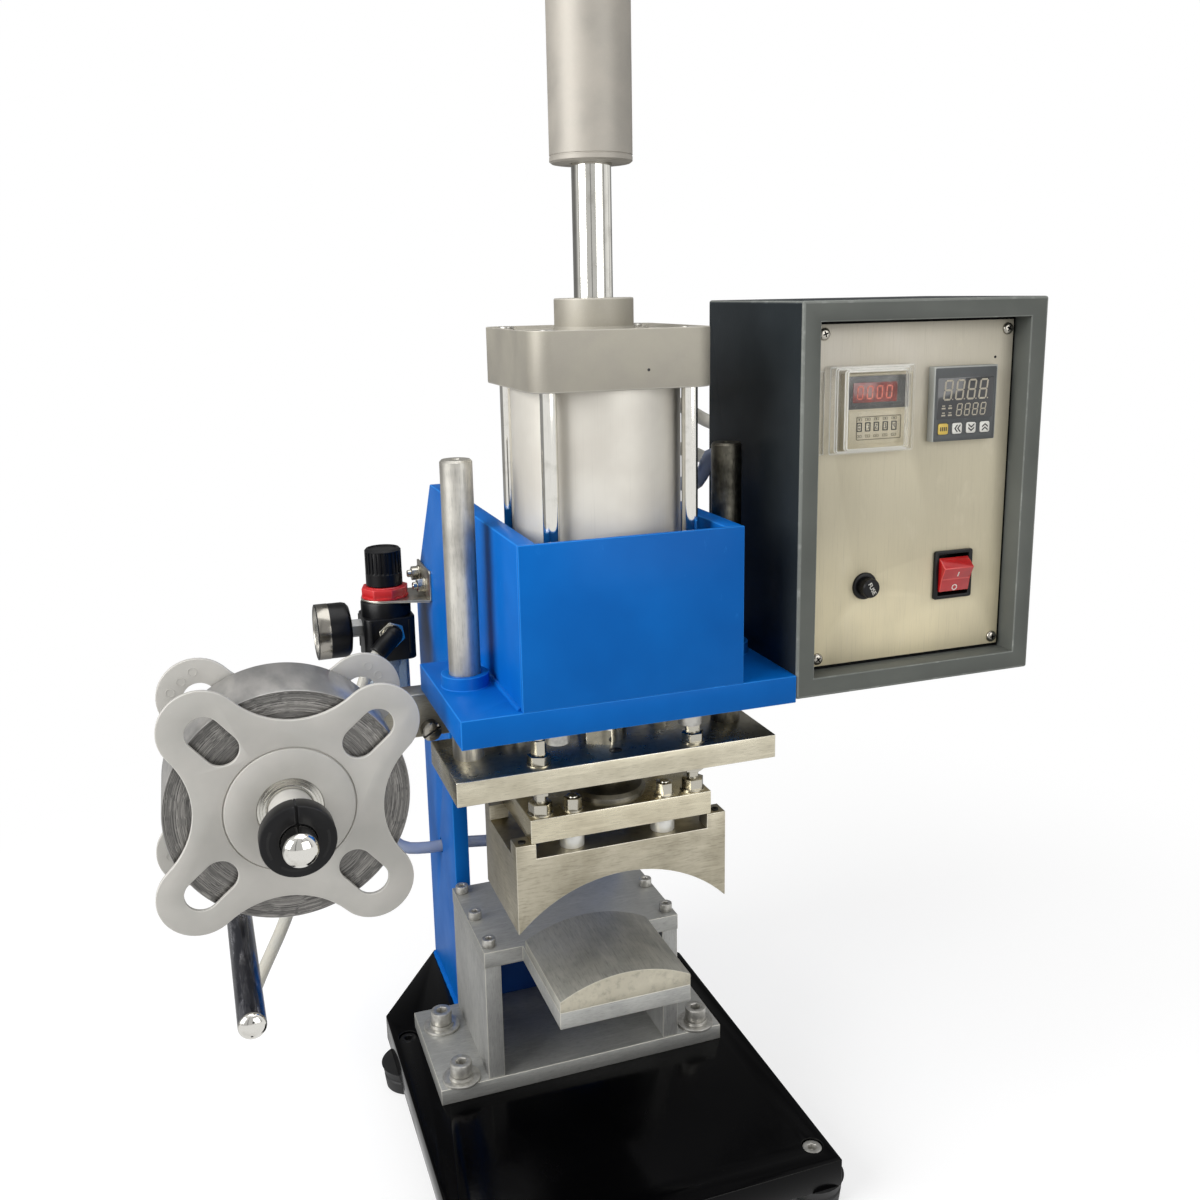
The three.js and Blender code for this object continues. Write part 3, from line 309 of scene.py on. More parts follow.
def clear_tube(name, colour):
    """Soft clear plastic: a slight cloud in its colour and a dull skin."""
    tube = Finish(name)
    cloud = tube.noise(26, 2).between(0.35, 0.75)
    colour = tube.blend(cloud * 0.6, tint(*colour), tint(200, 202, 198))
    grip = 0.12 + 0.16 * tube.noise(3, 3)
    return tube.close(colour, grip, transmission_weight=0.26, ior=1.38)


air_tube = clear_tube("clear_tube", (216, 212, 200))
blue_tube = clear_tube("blue_tube", (168, 180, 208))
supply_points = [(-117.85, 250.06, -29.87), (-124.5, 247.3, -35.4), (-131, 245.5, -52), (-153.7, 241.7, -108.7),
                 (-178.3, 238.3, -169.3), (-203, 235, -230), (-224, 235, -272), (-233, 235, -292)]
supply_hose, supply_line = hose("supply_tube", supply_points, 12, air_tube, "supply_hose")
supply_long = sum((b - a).length for a, b in zip(supply_line, supply_line[1:]))

# Hose from the regulator to the valve: pale blue clear tube, led through a hole in the frame,
# up inside the column and over the side plate into the control box.
valve_points = [(-103.2, 312, -31.3), (-103.4, 312, -42), (-116, 309, -85), (-128, 299, -130), (-124, 285, -176),
                (-104, 274, -203), (-84, 272.3, -207.4), (-60, 272.3, -207.6), (0, 272, -211), (28, 268, -196),
                (40, 255, -140), (40, 235, -60), (42, 217, 20), (46, 207, 75), (50, 200, 102), (62, 190, 112),
                (80, 168, 108), (95, 131, 105), (97, 116, 117), (99, 110.5, 128), (104.5, 110, 130), (110.6, 110, 130)]
hose("valve_tube", valve_points, 6, blue_tube, "valve_hose")

# Port hoses: the same clear tube, from the cylinder's two ports to the two outlets of the valve.
# They loop out of the back of the control box.
low_points = [(25, 123.3, 17.75), (25, 133, 17.75), (27, 150, 30), (32, 160, 65), (42, 164, 100), (62, 166, 124),
              (92, 167, 128), (116, 161, 120), (122, 148, 112.5), (122, 130.4, 112)]
high_points = [(25, 123.3, 202.25), (25, 134, 202.25), (34, 152, 198), (62, 165, 178), (98, 167, 160),
               (118, 158, 147), (122, 146, 145), (122, 130.4, 145)]
hose("lower_port_tube", low_points, 5, air_tube, "lower_port_hose")
hose("upper_port_tube", high_points, 5, air_tube, "upper_port_hose")


# Base plate: 20 mm steel plate with its rear corners cut off, in thick gloss black paint.
# It stands on four turned rubber feet held by cap screws in counterbores.
def fresh():
    """An empty mesh that can hold where a piece's edges are eased, for wear and painted highlights."""
    made = bmesh.new()
    made.faces.layers.float.new("edge_wear_and_highlight")
    return made


def eased(made, ease, segments=2, sharp=30, keep=None):
    """Rounds the sharp edges of a mesh by so many millimetres and marks the new faces for edge wear and painted
    highlights.
    """
    edges = [e for e in made.edges if e.is_manifold and e.calc_face_angle(0) > math.radians(sharp)]
    if keep:
        edges = [e for e in edges if keep((e.verts[0].co + e.verts[1].co) / 2)]
    cut = bmesh.ops.bevel(made, geom=edges, offset=ease, offset_type="OFFSET", segments=segments, profile=0.5,
                          affect="EDGES", clamp_overlap=True, material=-1)
    layer = made.faces.layers.float["edge_wear_and_highlight"]
    for face in cut["faces"]:
        face[layer] = 1
    return made


def solid(node, ease=0, segments=2):
    """A copy of a CAD solid in millimetres, with its flat faces whole and its edges eased."""
    made = fresh()
    made.from_mesh(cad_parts[node].data)
    bmesh.ops.transform(made, matrix=Matrix.Scale(1000, 4) @ Matrix.Translation(-datum), verts=made.verts)
    bmesh.ops.remove_doubles(made, verts=made.verts, dist=0.002)
    bmesh.ops.dissolve_limit(made, angle_limit=math.radians(0.5), verts=made.verts, edges=made.edges)
    return eased(made, ease, segments) if ease else made


def joined(*parts):
    """Several meshes as one."""
    whole = fresh()
    for part in parts:
        mesh = bpy.data.meshes.new("part")
        part.to_mesh(mesh)
        part.free()
        whole.from_mesh(mesh)
        bpy.data.meshes.remove(mesh)
    return whole


def piece(name, made, body, materials, nodes=(), smooth=32):
    """A finished piece: its mesh in place, its materials, its body and the CAD solids it stands for."""
    bmesh.ops.transform(made, matrix=Matrix.Translation(datum) @ Matrix.Scale(0.001, 4), verts=made.verts)
    mesh = bpy.data.meshes.new(name)
    made.to_mesh(mesh)
    made.free()
    for material in materials if isinstance(materials, list) else [materials]:
        mesh.materials.append(material)
    mesh.polygons.foreach_set("use_smooth", [True] * len(mesh.polygons))
    mesh.set_sharp_from_angle(angle=math.radians(smooth))
    thing = bpy.data.objects.new(name, mesh)
    bpy.context.scene.collection.objects.link(thing)
    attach(thing, body)
    if nodes:
        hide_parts(*([nodes] if isinstance(nodes, str) else nodes))
    return thing


def placed(made, place=(0, 0, 0), axis=(0, 0, 1), spin=0):
    """Turns a mesh drawn along Z to lie along axis, and puts it in its place."""
    turn = Vector((0, 0, 1)).rotation_difference(Vector(axis)).to_matrix().to_4x4()
    matrix = Matrix.Translation(place) @ turn @ Matrix.Rotation(math.radians(spin), 4, "Z")
    bmesh.ops.transform(made, matrix=matrix, verts=made.verts)
    return made


def turned(profile, place=(0, 0, 0), axis=(0, 0, 1), steps=64, ease=0, segments=2):
    """Spins a profile of (radius, height) points into a closed round body."""
    made = fresh()
    line = [made.verts.new((radius, 0, height)) for radius, height in profile]
    edges = [made.edges.new(pair) for pair in zip(line, line[1:])]
    bmesh.ops.spin(made, geom=line + edges, cent=(0, 0, 0), axis=(0, 0, 1), angle=2 * math.pi, steps=steps,
                   use_merge=True)
    bmesh.ops.remove_doubles(made, verts=made.verts, dist=0.001)
    bmesh.ops.recalc_face_normals(made, faces=made.faces)
    if ease:
        eased(made, ease, segments)
    return placed(made, place, axis)


def cap_screw(place, radius, tall, key, axis=(0, 0, 1), spin=15):
    """The head of a socket screw: a round head with a hexagonal key recess."""
    made = fresh()
    foot = bmesh.ops.create_circle(made, segments=28, radius=radius)["verts"]
    bmesh.ops.contextual_create(made, geom=foot)
    rise = bmesh.ops.extrude_edge_only(made, edges=[e for e in made.edges])["geom"]
    rim = [v for v in rise if isinstance(v, bmesh.types.BMVert)]
    bmesh.ops.translate(made, verts=rim, vec=(0, 0, tall))
    edge = [e for e in rise if isinstance(e, bmesh.types.BMEdge) and all(v in rim for v in e.verts)]
    mouth = bmesh.ops.create_circle(made, segments=6, radius=key, matrix=Matrix.Translation((0, 0, tall)))["verts"]
    lips = list({e for v in mouth for e in v.link_edges})
    bmesh.ops.bridge_loops(made, edges=edge + lips)
    sunk = bmesh.ops.extrude_edge_only(made, edges=lips)["geom"]
    deep = [v for v in sunk if isinstance(v, bmesh.types.BMVert)]
    bmesh.ops.translate(made, verts=deep, vec=(0, 0, -tall * 0.6))
    bmesh.ops.contextual_create(made, geom=deep)
    bmesh.ops.recalc_face_normals(made, faces=made.faces)
    eased(made, radius * 0.09, 2, 50)
    return placed(made, place, axis, spin)


def painted(name, colour, shade, rough=0.3, peel=0.02, coat=0.05, wear=(0.6, 0.85)):
    """Enamel on steel: soft drift in the colour, orange peel, thin wear in patches along the edges and a painted
    highlight on every eased edge.
    """
    paint = Finish(name)
    drift = paint.noise(70, 3).between(0.3, 0.7)
    tone = paint.blend(drift, tint(*colour), tint(*shade))
    scuff = paint.noise(7, 5, 0.7, (1, 1, 2.5)).between(0.66, 0.82)
    pale = tuple(min(255, c + 60) for c in colour)
    tone = paint.blend(scuff * 0.35, tone, tint(*pale))
    rubbed = paint.edge_wear_and_highlight() * paint.noise(9, 4).between(*wear)
    # Every eased edge is lightened a little as a painted highlight; the rubbed patches on top of that are wear.
    tone = paint.blend(paint.edge_wear_and_highlight() * 0.28 + rubbed * 0.5, tone, tint(*pale))
    relief = paint.bump(paint.noise(1.6, 2), peel)
    return paint.close(tone, rough + 0.14 * scuff + 0.10 * drift, normal=relief, coat_weight=coat, coat_roughness=0.2,
                       specular_ior_level=0.08)


black_gloss = Finish("black_gloss_paint")
smear = black_gloss.noise(45, 4, 0.6, (1, 1.6, 1)).between(0.42, 0.72)
dust = black_gloss.noise(1.1, 2, 0.6).between(0.70, 0.80) * black_gloss.noise(28, 2).between(0.45, 0.65)
tone = black_gloss.blend(dust * 0.35 + black_gloss.edge_wear_and_highlight() * 0.12, tint(3, 3, 4), tint(84, 84, 80))
black_gloss_paint = black_gloss.close(tone, 0.12 + 0.16 * smear + 0.3 * dust, specular_ior_level=0.10,
                                      normal=black_gloss.bump(black_gloss.noise(2.4, 2), 0.03))
piece("base_casting", solid("base_plate", 0.9), "machine", black_gloss_paint, "base_plate")

zinc = Finish("zinc_screw")
film = zinc.noise(6, 3).between(0.35, 0.7)
zinc_screw = zinc.close(zinc.blend(film, tint(198, 196, 190), tint(164, 162, 156)), 0.30 + 0.16 * film, 0.75,
                        normal=zinc.bump(zinc.noise(0.5, 2), 0.01))
# Black oxide for the dark screws, also used as painted shade in holes, slots and screw recesses.
screw_and_shade_finish = Finish("dark_screw_and_hole_shade")
oil = screw_and_shade_finish.noise(4, 3).between(0.4, 0.7)
screw_and_hole_shade_black = screw_and_shade_finish.close(screw_and_shade_finish.blend(oil, tint(38, 38, 39), tint(66, 65, 63)), 0.28 + 0.2 * oil, 0.8)
foot_spots = [(x, y) for x in (-118, 118) for y in (-17.7, 206)]
heads = [cap_screw((x, y, -342), 6.6, 8, 3.4, spin=20 * n) for n, (x, y) in enumerate(foot_spots)]
piece("foot_screw_plain", heads.pop(2), "machine", zinc_screw)
piece("foot_screws", joined(*heads), "machine", screw_and_hole_shade_black)

rubber = Finish("foot_rubber")
chalk = rubber.noise(10, 4).between(0.45, 0.75)
foot_rubber = rubber.close(rubber.blend(chalk * 0.5, tint(24, 24, 25), tint(62, 61, 59)), 0.62 + 0.2 * chalk,
                           normal=rubber.bump(rubber.noise(0.7, 2), 0.04))
foot_line = [(0, -372.5), (17.4, -372.5), (19.0, -371.2), (20.2, -362), (19.4, -361), (19.5, -359.5), (20.5, -358.6),
             (21.2, -354.4), (22, -353), (0, -353)]
feet = [turned(foot_line, (x, y, 0), steps=56) for x, y in foot_spots]
foot_nodes = ["foot_front_left", "foot_front_right", "foot_rear_left", "foot_rear_right"]
piece("rubber_feet", joined(*feet), "machine", foot_rubber, foot_nodes)

# Frame: flame-cut steel plates, welded into a C and sprayed blue. Two tall side plates stand on the base,
# a web closes the foot of the column, and the head plate with its guide collars carries the cylinder.
blue = painted("blue_enamel", (8, 107, 196), (5, 98, 184), 0.36)
# The column's front web takes a darker copy of the blue enamel: painted shade.
shaded_blue = painted("shaded_blue_enamel", (22, 58, 118), (16, 44, 98), 0.36)
for node, name, finish, slot in (
    ("left_side_plate", "left_cheek", blue, "blue_paint"),
    ("right_side_plate", "right_cheek", blue, "blue_paint"),
    ("column_front_plate", "front_web", shaded_blue, "navy_paint"),
    ("column_rear_plate", "rear_web", blue, "blue_paint"),
    ("front_panel", "cylinder_box_front", blue, "blue_paint"),
    ("head_plate", "head_casting", blue, "blue_paint"),
):
    piece(name, solid(node, 0.5 if node == "front_panel" else 0.7), "machine", finish, node)


def weld_bead(start, end, radius, slices=3):
    """A painted fillet weld: a rippled round bead laid into a corner."""
    run = Vector(end) - Vector(start)
    count = max(4, round(run.length / 2.2))
    made = fresh()
    ring = bmesh.ops.create_circle(made, segments=10, radius=radius)["verts"]
    edges = [e for e in made.edges]
    bmesh.ops.contextual_create(made, geom=ring)
    for step in range(count * slices):
        grown = bmesh.ops.extrude_edge_only(made, edges=edges)["geom"]
        ring = [v for v in grown if isinstance(v, bmesh.types.BMVert)]
        edges = [e for e in grown if isinstance(e, bmesh.types.BMEdge) and all(v in ring for v in e.verts)]
        bmesh.ops.translate(made, verts=ring, vec=(0, 0, run.length / (count * slices)))
        swell = 1 + 0.10 * math.sin(2 * math.pi * (step + 1) / slices) + 0.05 * math.sin(step * 0.37)
        for v in ring:
            across = Vector((v.co.x, v.co.y)).normalized() * radius * swell
            v.co.x, v.co.y = across
    bmesh.ops.contextual_create(made, geom=ring)
    bmesh.ops.recalc_face_normals(made, faces=made.faces)
    return placed(made, start, run.normalized())


cheek_out, base_top = 71.6, -333
beads = [weld_bead((side * cheek_out, 4, 0), (side * cheek_out, 119, 0), 2.2) for side in (-1, 1)]
beads += [weld_bead((side * cheek_out, 222, base_top), (side * cheek_out, 320, base_top), 2.6) for side in (-1, 1)]
beads.append(weld_bead((-58, 323, base_top), (58, 323, base_top), 1.6))
beads += [weld_bead((side * 60, 216.6, -330), (side * 60, 216.6, -268), 1.8) for side in (-1, 1)]
piece("weld_beads", joined(*beads), "machine", blue)

# Air cylinder: a satin anodised barrel between two cast square caps, drawn together by four chromed tie rods.
# The upper cap has a raised rim round a shallow recess and a round gland boss; four screws hold the flange below.
def cast_metal(name, colour, shade, rough=0.50, grit=0.05, metal=0.35):
    """Bead-blasted casting: fine sparkle, cloudy tone, brighter rubbed edges."""
    cast = Finish(name)
    cloud = cast.noise(32, 4).between(0.32, 0.7)
    speck = cast.noise(0.45, 2, 0.7)
    tone = cast.blend(cloud, tint(*colour), tint(*shade))
    tone = cast.blend(speck.between(0.55, 0.8) * 0.22, tone, tint(232, 230, 222))
    tone = cast.blend(cast.noise(3.2, 3).between(0.74, 0.8) * 0.35, tone, tint(96, 93, 86))
    tone = cast.blend(cast.edge_wear_and_highlight() * 0.30, tone, tint(236, 232, 222))
    return cast.close(tone, rough + 0.16 * speck - 0.08 * cloud, metal, normal=cast.bump(speck, grit))


def polished(name, colour=(226, 224, 217), rough=0.05, along=(1, 1, 30)):
    """Hard chrome: a mirror with faint polishing lines and finger marks."""
    shine = Finish(name)
    line = shine.noise(0.35, 2, 0.6, along)
    touch = shine.noise(14, 4).between(0.5, 0.78)
    tone = shine.blend(touch * 0.5 + line.between(0.5, 0.8) * 0.16, tint(*colour), tint(176, 172, 162))
    return shine.close(tone, rough + 0.05 * line + 0.12 * touch, 1, normal=shine.bump(line, 0.004))


cap_alloy = cast_metal("cap_alloy", (168, 163, 150), (157, 152, 141))
barrel_skin = Finish("anodised_barrel")
drawn = barrel_skin.noise(0.8, 3, 0.6, (1, 1, 60))
haze = barrel_skin.noise(48, 3).between(0.3, 0.7)
tone = barrel_skin.blend(haze, tint(226, 222, 212), tint(212, 207, 197))
tone = barrel_skin.blend(drawn.between(0.55, 0.85) * 0.25, tone, tint(176, 173, 163))
barrel_alloy = barrel_skin.close(tone, 0.40 + 0.10 * drawn + 0.05 * haze, 0.34,
                                 normal=barrel_skin.bump(drawn, 0.01))
tie_chrome = polished("tie_chrome")

bore_y, cap_low, cap_half = 66, 184.5, 57
screw_out, tie_out = 44, 44.5
quarters = [(x, y) for x in (-1, 1) for y in (-1, 1)]
piece("lower_cap", solid("cylinder_lower_cap", 0.9), "machine", cap_alloy, "cylinder_lower_cap")
tube = [(50, 35.5), (53, 35.5), (53, cap_low), (50, cap_low), (50, 35.5)]
piece("barrel", turned(tube, (0, bore_y, 0), steps=128), "machine", barrel_alloy, "cylinder_barrel")


def rounded_box(low, high, corner, steps=10):
    """A block with rounded upright corners."""
    made = fresh()
    bmesh.ops.create_cube(made, size=1)
    size = Vector(high) - Vector(low)
    bmesh.ops.transform(made, matrix=Matrix.Diagonal((*size, 1)), verts=made.verts)
    bmesh.ops.translate(made, verts=made.verts, vec=(Vector(high) + Vector(low)) / 2)
    uprights = [e for e in made.edges if abs(e.verts[0].co.z - e.verts[1].co.z) > 0.1]
    bmesh.ops.bevel(made, geom=uprights, offset=corner, offset_type="OFFSET", segments=steps, profile=0.5,
                    affect="EDGES", clamp_overlap=True, material=-1)
    return made


top_cap = rounded_box((-cap_half, bore_y - cap_half, cap_low), (cap_half, bore_y + cap_half, 220), 13)
crown = [f for f in top_cap.faces if f.normal.z > 0.9]
bmesh.ops.inset_region(top_cap, faces=crown, thickness=5.2, depth=0, use_even_offset=True)
bmesh.ops.translate(top_cap, verts=list({v for f in crown for v in f.verts}), vec=(0, 0, -3.2))
eased(top_cap, 0.8, 3)
boss = turned([(12.4, 212), (24.5, 212), (24.5, 237), (12.4, 237), (12.4, 212)], (0, bore_y, 0), steps=96,
              ease=0.9, segments=3)
foot_ring = turned([(24, 216.4), (27.5, 216.9), (25.6, 218.0), (24.4, 220.4), (24, 220.4)], (0, bore_y, 0), steps=96)
pads = []
for x, y in quarters:
    spot = (screw_out * x, bore_y + screw_out * y, 0)
    pads.append(turned([(0, 216), (9.2, 216), (8.8, 217.6), (0, 217.6)], spot, steps=40, ease=0.5))
piece("upper_cap", joined(top_cap, boss, foot_ring, *pads), "machine", cap_alloy, "cylinder_upper_cap")
lugs = [cap_screw((screw_out * x, bore_y + screw_out * y, 217.5), 5.0, 2.2, 2.6, spin=17 * x + 9 * y)
        for x, y in quarters]
piece("cap_screws", joined(*lugs), "machine", zinc_screw)
# The small dimple on the cap is a dark disc: painted shade in the hole.
spot_hole = turned([(0, 0), (0.9, 0), (0.9, 0.12), (0.6, 0.16), (0, 0.10)], (13.3, 9.02, 195.8), (0, -1, 0), 24)
piece("cap_dimple", spot_hole, "machine", screw_and_hole_shade_black)

tie_nodes = ["tie_rod_front_left", "tie_rod_front_right", "tie_rod_rear_left", "tie_rod_rear_right"]
ties = [turned([(0, 33), (5, 33), (5, 187), (0, 187)], (tie_out * x, bore_y + tie_out * y, 0), steps=40)
        for x, y in quarters]
piece("tie_rods", joined(*ties), "machine", tie_chrome, tie_nodes)
flange = [cap_screw((tie_out * x, bore_y + tie_out * y, -18), 7.6, 11.6, 4.0, (0, 0, -1), 12 * x)
          for x, y in quarters]
piece("flange_screws", joined(*flange), "machine", zinc_screw)


# Through rod: hard-chromed steel, with the piston inside the barrel and a hexagon nut on the ram plate.
# The stroke is set by the heavy turned sleeve on its upper end.
def hexagon(place, across, tall, axis=(0, 0, 1), spin=0):
    """A hexagon nut or bolt head with chamfered corners."""
    made = fresh()
    bmesh.ops.create_cone(made, cap_ends=True, segments=6, radius1=across / math.sqrt(3), radius2=across / math.sqrt(3),
                          depth=tall, matrix=Matrix.Translation((0, 0, tall / 2)))
    crowns = [f for f in made.faces if abs(f.normal.z) > 0.9]
    for crown in crowns:
        bmesh.ops.inset_individual(made, faces=[crown], thickness=across * 0.07, depth=0)
        rise = 1 if crown.normal.z > 0 else -1
        for v in crown.verts:
            v.co.z += rise * across * 0.035
    uprights = [e for e in made.edges if abs(e.verts[0].co.z - e.verts[1].co.z) > tall * 0.8]
    bmesh.ops.bevel(made, geom=uprights, offset=across * 0.03, offset_type="OFFSET", segments=2, profile=0.5,
                    affect="EDGES", clamp_overlap=True, material=-1)
    return placed(made, place, axis, spin)


rod_chrome = polished("rod_chrome", (230, 228, 220), 0.04)
ram_top, rod_end, heater_top = -48.2, 413, -81.2
rod = turned([(0, ram_top), (12, ram_top), (12, 152), (49.7, 152), (49.7, 182), (12, 182), (12, rod_end),
              (0, rod_end)], (0, bore_y, 0), steps=96)
rod_nut = hexagon((0, bore_y, ram_top), 29.6, 16.2, spin=4)
piece("piston_and_rod", joined(rod, rod_nut), "ram", rod_chrome, "piston_rod")

sleeve_alloy = cast_metal("sleeve_alloy", (180, 174, 164), (166, 161, 152), 0.5, 0.02, 0.3)
sleeve_line = [(12.4, rod_end), (12.4, 315.5), (23.6, 315.5), (25, 316.6), (25, 319.0), (24.6, 319.2), (24.6, 319.9),
               (25, 320.1), (25, 424), (23.5, 425.5), (7, 425.5), (7, 423.5), (0, 423.5), (0, rod_end), (12.4, rod_end)]
piece("stroke_sleeve", turned(sleeve_line, (0, bore_y, 0), steps=112), "sleeve", sleeve_alloy, "adjuster_sleeve")


# Ram: a ground steel plate pressed on two guide rods, with a heater plate hung below it on four levelling
# studs and a swivel coupling. Aluminium spacers hold the arched steel stamp block under the heater plate.
def ground(name, colour, shade, grain, rough=0.26, depth=0.02, pits=0.3, size=0.5, metal=1):
    """Ground or machined steel: fine lines along the grain, cloudy oil film, small dark pits, bright edges."""
    steel = Finish(name)
    lines = steel.noise(size, 4, 0.68, grain)
    broad = steel.noise(size * 5, 3, 0.6, grain)
    film = steel.noise(38, 4, 0.6).between(0.35, 0.7)
    tone = steel.blend(film, tint(*colour), tint(*shade))
    dark = tuple(c * 0.62 for c in shade)
    tone = steel.blend(lines.between(0.45, 0.8) * 0.5, tone, tint(*dark))
    tone = steel.blend(broad.between(0.5, 0.8) * 0.4, tone, tint(*[min(255, c * 1.16) for c in colour]))
    pit = steel.noise(1.6, 3, 0.6).between(0.72, 0.78)
    tone = steel.blend(pit * pits, tone, tint(72, 66, 56))
    tone = steel.blend(steel.edge_wear_and_highlight() * 0.5, tone, tint(232, 228, 214))
    relief = steel.bump(lines + 0.5 * broad, depth)
    return steel.close(tone, rough + 0.22 * lines + 0.08 * film, metal, normal=relief)


plate_steel = ground("ram_plate_steel", (212, 205, 184), (192, 185, 164), (14, 14, 1), 0.16, 0.012, 0.45)
piece("ram_bar", solid("ram_plate", 0.6), "ram", plate_steel, "ram_plate")
# The oil hole is a dark disc with a rim: painted shade in the hole.
dimple = turned([(0, 0.04), (3.0, 0.04), (3.2, 0.3), (4.1, 0.3), (4.3, 0.02), (0, 0.02)], (0, 39.5, ram_top), steps=32)
piece("ram_oil_hole", dimple, "ram", screw_and_hole_shade_black)

guide_steel = ground("guide_rod_steel", (206, 203, 194), (156, 153, 146), (1, 1, 9), 0.28, 0.04, 0.6, 1.4, 0.8)
# The right rod is drawn much darker than the left, with heavy pits and coarse relief.
darker_rod_steel = ground("guide_rod_oiled", (150, 146, 132), (66, 64, 57), (1, 1, 3), 0.20, 0.3, 0.9, 1.8)
guide_line = [(0, ram_top), (10, ram_top), (10, 141.6), (8.7, 143), (2.6, 143), (1.6, 141.2), (0, 140.4)]
for hand, x, steel in (("left", -90.4, guide_steel), ("right", 90.4, darker_rod_steel)):
    post = turned(guide_line, (x, bore_y, 0), steps=72)
    piece(f"guide_post_{hand}", post, "ram", steel, f"guide_rod_{hand}")

bright = polished("bright_nut", (190, 186, 174), 0.16, (1, 1, 4))
studs = []
for n, (x, y) in enumerate(((-52.5, 36), (52.5, 36), (-52.5, 92), (52.5, 92))):
    studs.append(turned([(0, -80), (3.9, -80), (3.9, -22.4), (3.3, -21.8), (0, -21.8)], (x, y, 0), steps=32))
    studs.append(turned([(3.9, ram_top), (7.9, ram_top), (7.9, -47.2), (3.9, -47.2)], (x, y, 0), steps=40))
    studs.append(hexagon((x, y, -47.1), 13.4, 5.4, spin=8 + 21 * n))
    studs.append(hexagon((x, y, -41.4), 9.0, 9.6, spin=31 + 17 * n))
    studs.append(hexagon((x, y, -64.3), 12.4, 3.6, (0, 0, -1), 25 * n))
    studs.append(turned([(3.9, heater_top), (8.2, heater_top), (8.2, -80.2), (3.9, -80.2)], (x, y, 0), steps=40))
    studs.append(hexagon((x, y, -80.1), 13.4, 6.4, spin=13 + 17 * n))
piece("levelling_studs", joined(*studs), "ram", bright)

joint_steel = ground("coupling_steel", (128, 126, 120), (92, 91, 88), (3, 3, 1), 0.22, 0.02, 0.2)
joint_line = [(0, heater_top), (25, heater_top), (25, -78.4), (22.5, -76.4), (15, -75.6), (11.5, -73.2), (9.4, -70.6),
              (7, -69.4), (7, -64.2), (0, -64.2)]
piece("swivel_coupling", turned(joint_line, (0, 56, 0), steps=72), "ram", joint_steel, "ram_coupling")

heater_steel = ground("heater_steel", (212, 204, 180), (190, 181, 158), (16, 16, 1), 0.15, 0.012, 0.35)
piece("heater_bar", solid("heater_plate", 0.5), "ram", heater_steel, "heater_plate")
bolts = []
for n, x in enumerate((-31.5, 31.5)):
    bolts.append(turned([(0, heater_top), (6.6, heater_top), (6.6, -80.2), (0, -80.2)], (x, 34, 0), steps=32))
    bolts.append(hexagon((x, 34, -80.2), 10.4, 7.4, spin=10 + 24 * n))
    bolts.append(turned([(0, -72.9), (3.4, -72.9), (3.0, -71.9), (0, -71.9)], (x, 34, 0), steps=24))
piece("heater_bolts", joined(*bolts), "ram", bright)
spacer_alloy = cast_metal("spacer_alloy", (236, 235, 230), (218, 218, 214), 0.32, 0.01, 0.4)
spacers = [turned([(0, -97.2), (8, -97.2), (8, -107.2), (0, -107.2)], (x, y, 0), steps=48, ease=0.4)
           for x in (-31.5, 31.5) for y in (38, 86)]
piece("stamp_spacers", joined(*spacers), "ram", spacer_alloy)
stamp_steel = ground("stamp_steel", (186, 179, 160), (160, 153, 134), (10, 10, 1), 0.26, 0.16, 0.8, 0.8)
piece("arched_stamp", solid("stamp_block", 0.45), "ram", stamp_steel, "stamp_block")
pegs = [cap_screw((x, y, -97.2), 2.5, 0.9, 1.3) for x in (-66.6, 66.6) for y in (31.5, 100.5)]
piece("stamp_corner_screws", joined(*pegs), "ram", screw_and_hole_shade_black)

# Bridge fixture: sawn and milled aluminium plates screwed into a table, with the curved anvil on its tongue.
# The work is pulled over the tongue; six M6 screws hold the top and four M10 bolts hold the foot.
table_alloy = ground("table_alloy", (178, 178, 174), (162, 162, 159), (9, 1, 1), 0.36, 0.02, 0.15, 0.6, 0.65)
wall_alloy = ground("wall_alloy", (176, 176, 173), (158, 158, 156), (1, 1, 9), 0.40, 0.03, 0.2, 0.6, 0.5)
anvil_alloy = ground("anvil_alloy", (192, 190, 180), (160, 159, 152), (1, 12, 1), 0.34, 0.03, 0.25, 0.9, 0.55)
for node, name, finish in (("fixture_base", "table_foot", table_alloy),
                           ("fixture_upright_left", "table_wall_left", wall_alloy),
                           ("fixture_upright_right", "table_wall_right", wall_alloy),
                           ("fixture_top", "table_top", table_alloy)):
    piece(name, solid(node, 0.4), "machine", finish, node)


def slab(loops, along, low, high):
    """Pushes an outline, with any holes in it, from low to high along an axis."""
    made = fresh()
    spot = {"X": lambda a, b: (low, a, b), "Y": lambda a, b: (a, low, b), "Z": lambda a, b: (a, b, low)}[along]
    for loop in loops:
        ring = [made.verts.new(spot(a, b)) for a, b in loop]
        for pair in zip(ring, ring[1:] + ring[:1]):
            made.edges.new(pair)
    bmesh.ops.triangle_fill(made, use_beauty=True, use_dissolve=False, edges=made.edges)
    bmesh.ops.dissolve_limit(made, angle_limit=math.radians(0.5), verts=made.verts, edges=made.edges)
    grown = bmesh.ops.extrude_face_region(made, geom=list(made.faces))["geom"]
    way = Vector([high - low if axis == along else 0 for axis in "XYZ"])
    bmesh.ops.translate(made, verts=[v for v in grown if isinstance(v, bmesh.types.BMVert)], vec=way)
    bmesh.ops.recalc_face_normals(made, faces=made.faces)
    return made


def arc(across, up, radius, start, end, count):
    """Points on part of a circle, from one angle in degrees to another."""
    turns = [math.radians(start + (end - start) * n / count) for n in range(count + 1)]
    return [(across + radius * math.cos(turn), up + radius * math.sin(turn)) for turn in turns]


